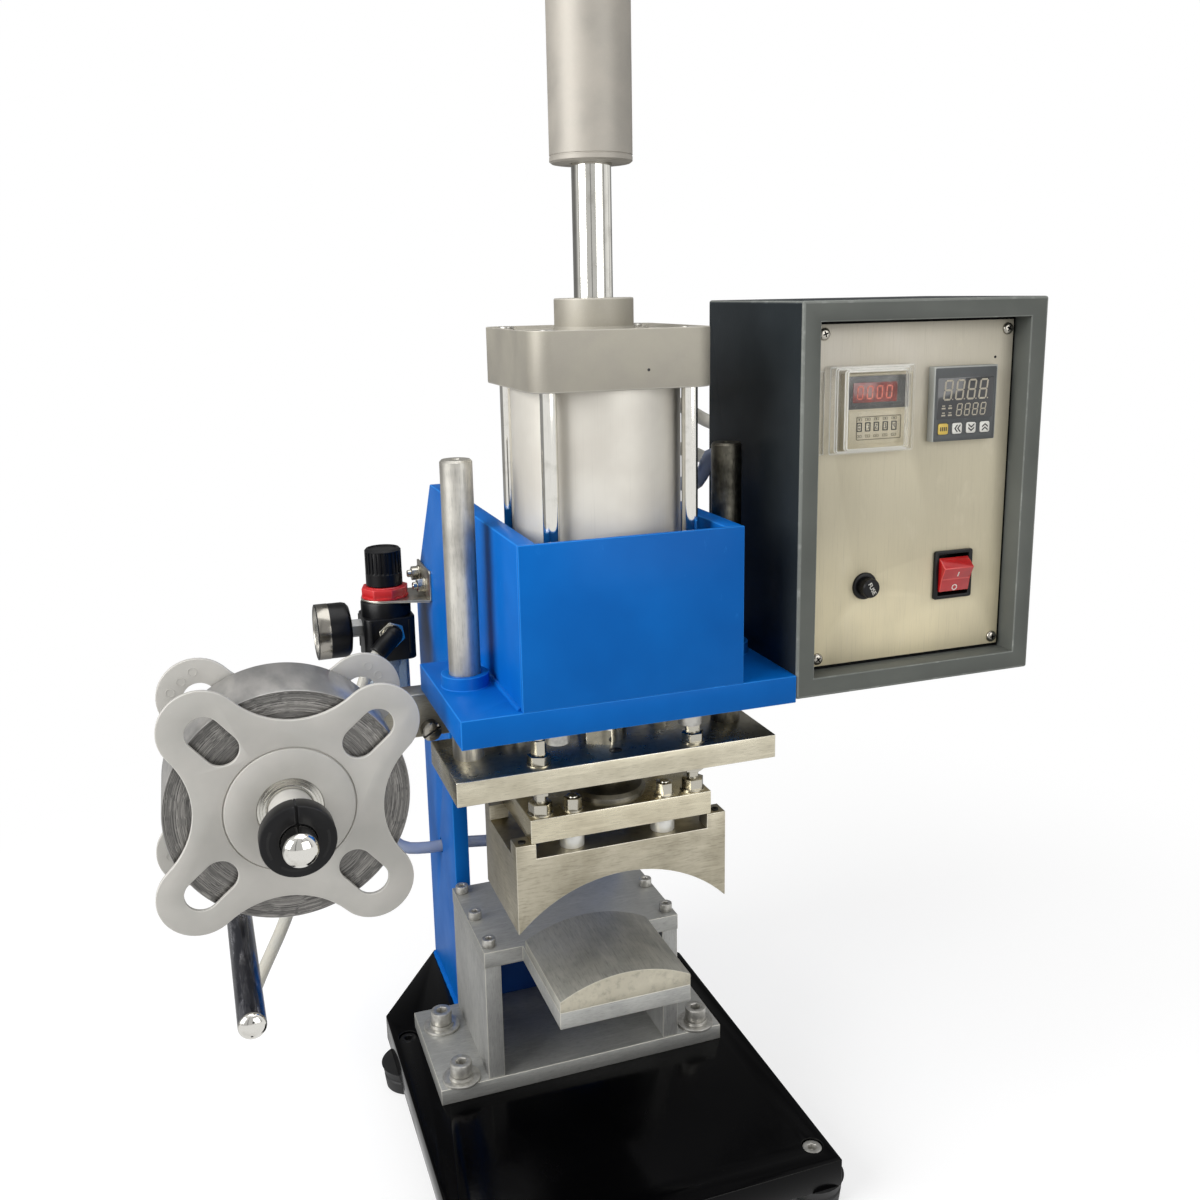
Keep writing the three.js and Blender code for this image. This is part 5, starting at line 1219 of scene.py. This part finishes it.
facets = [(reg_x + 18.9 * math.cos(math.radians(a)), reg_y + 18.9 * math.sin(math.radians(a)))
          for a in range(8, 368, 45)]
lock = upright(facets, 8.4, 15.6, 0.9)
lock_top = turned([(0, 0), (16.2, 0), (16.2, 1.0), (15.4, 1.6), (0, 1.6)], (reg_x, reg_y, 14.9), steps=72)
lock_foot = turned([(0, 0), (18.4, 0), (18.4, 1.2), (17.4, 1.8), (0, 1.8)], (reg_x, reg_y, 7.4), steps=72)
piece("lock_ring", joined(lock, lock_top, lock_foot), "machine", lock_red)

knob_grip = fluted(14.2, 0.95, 24, 9.5, 27.6, 0.34, 9)
core_line = [(0, 0), (13.9, 0), (14.3, 0.5), (14.3, 9.6), (13.7, 10.4), (13.3, 11), (13.3, 27.6), (13.0, 28.3),
             (12.4, 29.3), (11.6, 29.6), (10.8, 28.8), (0, 28.8)]
knob_core = turned(core_line, steps=96)
knob_rim = turned([(11, 27.2), (14.2, 27.2), (14.2, 27.9), (12.8, 29.5), (11, 29.6), (11, 27.2)], steps=96)
cap = joined(knob_grip, knob_core, knob_rim)
placed(cap, (reg_x, reg_y, 16.8))
piece("pressure_knob", cap, "knob", black_plastic, "regulator_knob")

# Regulator bracket: 1.8 mm stainless strip, punched and bent to a right angle, with two hexagon bolts
# through the side plate.
strip = ground("bracket_steel", (196, 193, 184), (176, 172, 162), (10, 1, 1), 0.22, 0.012, 0.15)
shelf = slab([[(-73.4, 256.9), (-73.4, 305), (reg_x, 305), *arc(reg_x, reg_y, 19, 90, 270, 32)[1:-1], (reg_x, 267)],
              arc(reg_x, reg_y, 15.3, 0, 353, 50)], "Z", 5.3, 7.1)
leg = slab([[(256, 9.5), (257, 6.6), (260, 5.3), (305, 5.3), (305, 30.3), (258, 30.3), (256, 28.3)]], "X", -73.4, -71.6)
eased(shelf, 0.3, 2, 50)
eased(leg, 0.3, 2, 50)
piece("bracket_strip", joined(shelf, leg), "machine", strip, "regulator_bracket")
pair = []
for n, (y, z) in enumerate(((276, 15.4), (298, 20.4))):
    pair.append(turned([(0, 0), (6.4, 0), (6.4, 1.2), (0, 1.2)], (-73.4, y, z), (-1, 0, 0), 40, 0.25))
    pair.append(hexagon((-74.5, y, z), 10, 5.0, (-1, 0, 0), 11 + 26 * n))
    pair.append(turned([(0, 0), (2.9, 0), (2.9, 8.0), (2.3, 8.6), (0, 8.6)], (-74.6, y, z), (-1, 0, 0), 28))
piece("bracket_bolts", joined(*pair), "machine", bright)

# Pressure gauge: black pressed can with a chromed bezel ring, a white dial behind glass, and a brass
# stem nickelled at its hexagon. The needle rests at zero.
gauge_y, gauge_z = 286, -17


def facing_left(profile, ease=0, steps=96):
    """A turned part of the gauge; heights run from its back at X -132 to its front at X -159."""
    return turned(profile, (-132, gauge_y, gauge_z), (-1, 0, 0), steps, ease)


can_line = [(0, 0), (12, 0), (18.6, 1.2), (21.0, 3.2), (21.8, 6), (21.8, 17.6), (20.4, 17.8), (20.4, 22.9), (0, 22.9)]
piece("gauge_can", facing_left(can_line), "machine", black_plastic, "gauge_case")
ring_line = [(20.3, 17.4), (22, 17.4), (22, 26.3), (21.6, 27), (20.6, 27), (20.1, 26.2), (20.1, 18.2), (20.3, 17.4)]
piece("gauge_ring", facing_left(ring_line), "machine", nickel)
dial_white = moulded("dial_white", (236, 236, 230), (228, 228, 220), 0.5, 0.003)
piece("gauge_dial", facing_left([(0, 22.8), (20.05, 22.8), (20.05, 23.0), (0, 23.0)]), "machine", dial_white)
stem_grey = cast_metal("stem_nickel", (176, 177, 176), (160, 161, 160), 0.34, 0.01, 0.4)
piece("gauge_stem", hexagon((-132.2, gauge_y, gauge_z), 13, 8.8, (1, 0, 0), 34), "machine", stem_grey)
front_rim = facing_left([(20.6, 26.6), (22, 26.6), (22, 27), (21.2, 27.3), (20.6, 27.2), (20.6, 26.6)])
piece("gauge_front_rim", front_rim, "machine", black_plastic)


def dial_spot(degrees, out):
    """A place on the dial; the degrees run clockwise from straight down as the operator sees it."""
    turn = math.radians(degrees)
    return gauge_y + out * math.sin(turn), gauge_z - out * math.cos(turn)


ticks = []
for n in range(51):
    inner, wide = (14.4, 0.42) if n % 10 == 0 else (15.6, 0.3) if n % 5 == 0 else (16.6, 0.2)
    turn = math.radians(45 + 270 * n / 50)
    out, side = Vector((math.sin(turn), -math.cos(turn))), Vector((math.cos(turn), math.sin(turn))) * wide / 2
    hub = Vector((gauge_y, gauge_z))
    corners = [hub + out * inner - side, hub + out * inner + side, hub + out * 18.4 + side, hub + out * 18.4 - side]
    ticks.append(slab([[tuple(c) for c in corners]], "X", -155.06, -154.9))


left_face = Matrix(((0, 0, -1, 0), (-1, 0, 0, 0), (0, 1, 0, 0), (0, 0, 0, 1)))
for n in range(6):
    y, z = dial_spot(45 + 54 * n, 11.6)
    ticks.append(numeral(str(2 * n), 4.2, (-155.0, y, z), left_face))
piece("dial_scale", joined(*ticks), "machine", ink)
glass = Finish("gauge_glass")
wipe = glass.noise(10, 4).between(0.5, 0.8)
gauge_glass = glass.close(glass.blend(wipe, tint(250, 252, 252), tint(225, 230, 232)), 0.03 + 0.1 * wipe,
                          alpha=0.10 + 0.12 * wipe, coat_weight=0.3)
piece("gauge_window", facing_left([(0, 25.6), (20.05, 25.6), (20.05, 26.4), (0, 26.4)]), "machine", gauge_glass)
lean = math.radians(45)
way = Vector((0, math.sin(lean), -math.cos(lean)))
side = Vector((0, math.cos(lean), math.sin(lean)))
hub = Vector((0, gauge_y, gauge_z))
hand_line = ((15, 0.25), (15, -0.25), (1.5, -0.75), (-5, -0.75), (-5, 0.75), (1.5, 0.75))
hand = [hub + way * a + side * b for a, b in hand_line]
pointer = slab([[(c.y, c.z) for c in hand]], "X", -156.9, -156.4)
boss = turned([(0, 0), (2.4, 0), (2.4, 1.2), (1.8, 1.8), (0, 1.9)], (-155.3, gauge_y, gauge_z), (-1, 0, 0), 32)
piece("gauge_hand", joined(pointer, boss), "needle", ink, "gauge_needle")

# Foil unwinder arm: flame-cut steel bar, ground and bolted up under the frame. A slotted guide pin stands in it,
# and a strip welded to its end carries the lower guide bar.
arm_steel = ground("arm_steel", (172, 168, 156), (150, 146, 134), (9, 9, 1), 0.30, 0.03, 0.4)
reel_x, reel_z = -204.7, -51.5
bar_x, bar_z, hang_x = -237.5, -155, -214
arm_line = [(-58, -18), (-58, -48), (-150, -48), (-185, -70), (-222, -70), (-222, -33), (-190, -18)]
root = slab([arm_line], "Y", 110, 130)
eased(root, 0.7)
run = Vector((hang_x - bar_x, reel_z - bar_z))
turn = math.degrees(math.atan2(run.y, run.x))
tip = arc(bar_x, bar_z, 8, turn + 90, turn + 270, 24)
lean_x, lean_z = 8 * math.sin(math.radians(turn)), 8 * math.cos(math.radians(turn))
hanger = slab([[*tip, (hang_x + lean_x, reel_z - lean_z), (hang_x - lean_x, reel_z + lean_z)]], "Y", 122, 129.9)
eased(hanger, 0.5, 2, 40)
piece("arm_bar", joined(root, hanger), "machine", arm_steel, "foil_arm")


def slotted(radius, length, slot):
    """A round pin with a rounded end and a screwdriver slot, drawn along Z with its head at the top."""
    made = turned([(0, 0), (radius, 0), (radius, length - 1.8), (radius * 0.93, length - 0.7), (radius * 0.7, length),
                   (0, length)], steps=48)
    across = [(2 * (n / 12 - 0.5) * radius * 0.98) for n in range(13)]
    groove = brick((across[0], -slot / 2, length - 1.4), (across[-1], slot / 2, length + 0.02), 0.05)
    return made, groove


pin, groove = slotted(6.8, 27, 1.4)
piece("arm_pin", placed(pin, (-106, 130, -43), (0, -1, 0), 30), "machine", nickel)
# The pin's slot is a black block: painted shade.
piece("arm_pin_slot", placed(groove, (-106, 130, -43), (0, -1, 0), 30), "machine", screw_and_hole_shade_black)

# Reel shaft: polished steel spindle with a domed end, shouldered into the arm and held by a hexagon nut.
# The split black collar clamps on it and keeps the reel in place.
mirror_steel = polished("spindle_chrome", (222, 220, 214), 0.05, (1, 30, 1))
dome = [(10 * math.sin(math.radians(a)), -23 - 7 * math.cos(math.radians(a))) for a in range(0, 91, 6)]
# Near-black standing in for the shade inside slits, grooves and slots: painted shade.
hollow_shade_black = moulded("painted_hollow_shade", (8, 8, 9), (12, 12, 13), 0.7)
spindle_line = [*dome, (10, -12.8), (10, -1.2), (10, 110), (6, 110), (6, 139), (0, 139)]
spindle = turned(spindle_line, (reel_x, 0, reel_z), (0, 1, 0), 72)
# The stretch of spindle inside the collar is near-black, painted shade seen through the slit.
for face in spindle.faces:
    face.material_index = 1 if -12.7 < face.calc_center_median().y < -1.3 else 0
nut = hexagon((reel_x, 130, reel_z), 17.3, 8.2, (0, 1, 0), 12)
piece("reel_spindle", joined(spindle, nut), "machine", [mirror_steel, hollow_shade_black], "reel_shaft")

clamp_radius, half_slit = 21, 0.6
gap_half = math.degrees(math.asin(half_slit / clamp_radius))
split = arc(reel_x, reel_z, clamp_radius, 90 + gap_half, 450 - gap_half, 88)
bore = arc(reel_x, reel_z, 10.3, 450 - 3.35, 90 + 3.35, 60)
ring = slab([[*split, *bore]], "Y", -13, -1)
eased(ring, 0.8, 2, 40)
piece("collar_clamp", ring, "machine", black_plastic, "shaft_collar")
# Dark arcs on the collar's face and a dark block in its slit are painted shade in its grooves and slit.
hollows = []
for start in (150, 232, 318):
    outline = arc(reel_x, reel_z, 17.4, start, start + 58, 16) + arc(reel_x, reel_z, 15.9, start + 58, start, 16)
    hollows.append(slab([outline], "Y", -13.06, -12.6))
hollows.append(brick((reel_x - 0.62, -11, reel_z + 10.2), (reel_x + 0.62, -1.2, reel_z + 20.8)))
piece("collar_grooves", joined(*hollows), "machine", hollow_shade_black)


# Reel flanges: injection-moulded light grey discs with four lobes and four slots, a raised round centre
# and a long bush that runs on the shaft. A pressed steel dish is sunk into each hub.
def lobed(orbit=71, lobe=24, waist=54.5, first=40, lobes=4):
    """The outline of a flange: round lobes joined by hollows that touch them."""
    step = math.pi / lobes
    inward = orbit * math.cos(step)
    hollow = (waist ** 2 + orbit ** 2 - lobe ** 2 - 2 * waist * inward) / (2 * (lobe + inward - waist))
    loop, slots = [], []
    for n in range(lobes):
        angle = math.radians(first) + 2 * step * n
        x, z = reel_x + orbit * math.cos(angle), reel_z + orbit * math.sin(angle)
        between = angle + step
        far_x, far_z = reel_x + (waist + hollow) * math.cos(between), reel_z + (waist + hollow) * math.sin(between)
        toward = math.atan2(far_z - z, far_x - x)
        tilt = math.atan2(math.sin(toward - between), math.cos(toward - between))
        loop += arc(x, z, lobe, math.degrees(2 * angle - between - tilt), math.degrees(between + tilt), 36)
        first_end, last_end = math.degrees(between + tilt) + 180, math.degrees(between - tilt) + 180
        loop += arc(far_x, far_z, hollow, first_end, last_end, 16)[1:-1]
        turn = math.degrees(angle)
        outer = arc(reel_x + 69 * math.cos(angle), reel_z + 69 * math.sin(angle), 10, turn - 90, turn + 90, 18)
        inner = arc(reel_x + 55 * math.cos(angle), reel_z + 55 * math.sin(angle), 10, turn + 90, turn + 270, 18)
        slots.append(outer + inner)
    return loop, slots


reel_grey = moulded("reel_plastic", (198, 195, 189), (190, 188, 182), 0.44, 0.025, 0, 0.2)
dish_steel = polished("hub_dish", (206, 204, 196), 0.20, (1, 1, 1))


def lobed_flange(name, node, outer, way, bush_end):
    """One flange, seen from its outer face; way is 1 where the roll lies behind it."""
    loop, slots = lobed()
    low, high = sorted((outer, outer + 3 * way))
    plate_mesh = slab([loop, *slots, arc(reel_x, reel_z, 38.3, 0, 356, 89)], "Y", low, high)
    eased(plate_mesh, 0.55, 3, 40)
    line = [(10.3, bush_end), (12.5, bush_end), (13, bush_end + 0.5 * way), (13, outer + 0.6 * way),
            (19.3, outer + 0.6 * way), (19.5, outer - 0.8 * way), (19.9, outer - 1 * way), (36.6, outer - 1 * way),
            (37.3, outer - 0.7 * way), (37.5, outer - 0.3 * way), (37.5, outer + 1.2 * way), (38.6, outer + 1.2 * way),
            (38.6, outer + 2.9 * way), (13, outer + 2.9 * way), (13, outer + 10.4 * way), (12.4, outer + 11 * way),
            (10.3, outer + 11 * way), (10.3, bush_end)]
    hub_mesh = turned(line, (reel_x, 0, reel_z), (0, 1, 0), 96)
    parts = [plate_mesh, hub_mesh]
    for n in range(4):
        angle = math.radians(130 + 90 * n)
        for aside in (-9, 0, 9):
            x = reel_x + 84.5 * math.cos(angle + aside / 84.5)
            z = reel_z + 84.5 * math.sin(angle + aside / 84.5)
            emboss = turned([(2.2, -0.3), (2.9, -0.3), (2.8, 0.22), (2.3, 0.22), (2.2, -0.3)], (x, outer + 3 * way, z),
                            (0, way, 0), 24)
            parts.append(emboss)
    piece(name, joined(*parts), "reel", reel_grey, node)
    steps_line = [(13.05, 0.9), (13.4, -1.9), (14.3, -2.2), (15.0, -1.6), (15.8, -1.5), (16.0, -0.7), (17.4, -0.4),
                  (17.6, 0.1), (19.0, 0.3), (19.2, 0.9), (13.05, 0.9)]
    dish = turned([(r, outer + way * y * 0.45) for r, y in steps_line], (reel_x, 0, reel_z), (0, 1, 0), 96)
    piece(f"{name}_dish", dish, "reel", dish_steel)


lobed_flange("front_flange", "reel_flange_front", 33, 1, -0.7)
lobed_flange("rear_flange", "reel_flange_rear", 101, -1, 109.7)

# Foil roll: a long strip of metallised film wound on the flanges' plugs. Its sides show the edges of the
# windings, a little uneven; a wrapper of clear film dulls its outside.
film = Finish("wound_film")
off = film.node("VectorMath", {"operation": "SUBTRACT"}, {0: film.place, 1: (at(reel_x, 0, reel_z) * 1000)})
flat = film.node("VectorMath", {"operation": "MULTIPLY"}, {0: off, 1: Vector((1, 0, 1))})
radius = film.node("VectorMath", {"operation": "LENGTH"}, {0: flat}, "Value")
ripple = film.noise(26, 3, 0.6)
turns = film.node("CombineXYZ", {}, {"X": radius * 2.1 + ripple * 5, "Y": ripple * 7, "Z": 0})
wound = film.node("TexNoise", {}, {"Vector": turns, "Scale": 1, "Detail": 4, "Roughness": 0.65})
broad = film.node("TexNoise", {}, {"Vector": turns, "Scale": 0.22, "Detail": 2, "Roughness": 0.5})
tone = film.blend(wound.between(0.32, 0.68), tint(46, 45, 44), tint(160, 157, 152))
tone = film.blend(broad.between(0.4, 0.66) * 0.6, tone, tint(74, 73, 71))
outside = radius.between(70.2, 70.7)
wrap = film.blend(film.noise(20, 4, 0.6, (1, 3, 1)).between(0.35, 0.7), tint(150, 149, 147), tint(188, 185, 181))
tone = film.blend(outside, tone, wrap)
relief = film.bump(wound * (1 - outside) + 0.4 * ripple, 0.25)
film_skin = film.close(tone, 0.28 + 0.16 * wound, 0.45, normal=relief, coat_weight=0.3)
roll_line = [(13.4, 38.2)]
for n in range(60):
    out = 15 + 55 * n / 59
    roll_line.append((out, 38.3 + 0.3 * math.sin(n * 2.39) * math.sin(n * 0.83 + 1)))
roll_line += [(70.6, 38.0), (71, 38.6), (71, 95.4), (70.6, 96.0)]
for n in range(59, -1, -1):
    out = 15 + 55 * n / 59
    roll_line.append((out, 95.7 - 0.3 * math.sin(n * 1.93 + 2) * math.sin(n * 0.71)))
roll_line += [(13.4, 95.8), (13.4, 38.2)]
coil = turned(roll_line, (reel_x, 0, reel_z), (0, 1, 0), 120)
piece("wound_roll", coil, "reel", film_skin, "foil_roll", smooth=50)

# Lower guide bar: a steel rod with a rounded, slotted end, riveted into the hanger. The foil passes round it.
# Creased film clings to all of it but the bare end; the light streaks along its creases are partly painted highlights.
dome = [(8 * math.sin(math.radians(a)), 5 - 5 * math.cos(math.radians(a))) for a in range(0, 91, 6)]
rod_line = [(r, 142 - h) for r, h in reversed(dome)]
guide = turned([(0, 0), (8, 0), *rod_line], (bar_x, 122, bar_z), (0, -1, 0), 64)
wrapped = Finish("film_wrapped_bar")
crease = wrapped.noise(5, 5, 0.7, (1, 7, 1), 0.6)
# Light streaks along the creases: partly the film's own, partly painted highlights.
crease_streak_and_highlight = crease.between(0.48, 0.72)
tone = wrapped.blend(crease_streak_and_highlight, tint(52, 54, 64), tint(176, 176, 182))
wrapped_bar = wrapped.close(tone, 0.12 + 0.25 * crease_streak_and_highlight, 0.75, normal=wrapped.bump(crease, 0.5), coat_weight=0.5)
for face in guide.faces:
    face.material_index = 1 if face.calc_center_median().y > -13 else 0
piece("guide_roller", guide, "machine", [mirror_steel, wrapped_bar], "lower_guide_bar")
# The slot in the bar's end is a dark block: painted shade.
slot_mark = brick((-4.6, -0.65, 139.4), (4.6, 0.65, 141.4), 0.1)
piece("guide_slot", placed(slot_mark, (bar_x, 122, bar_z), (0, -1, 0), 80), "machine", hollow_shade_black)

low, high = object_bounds()
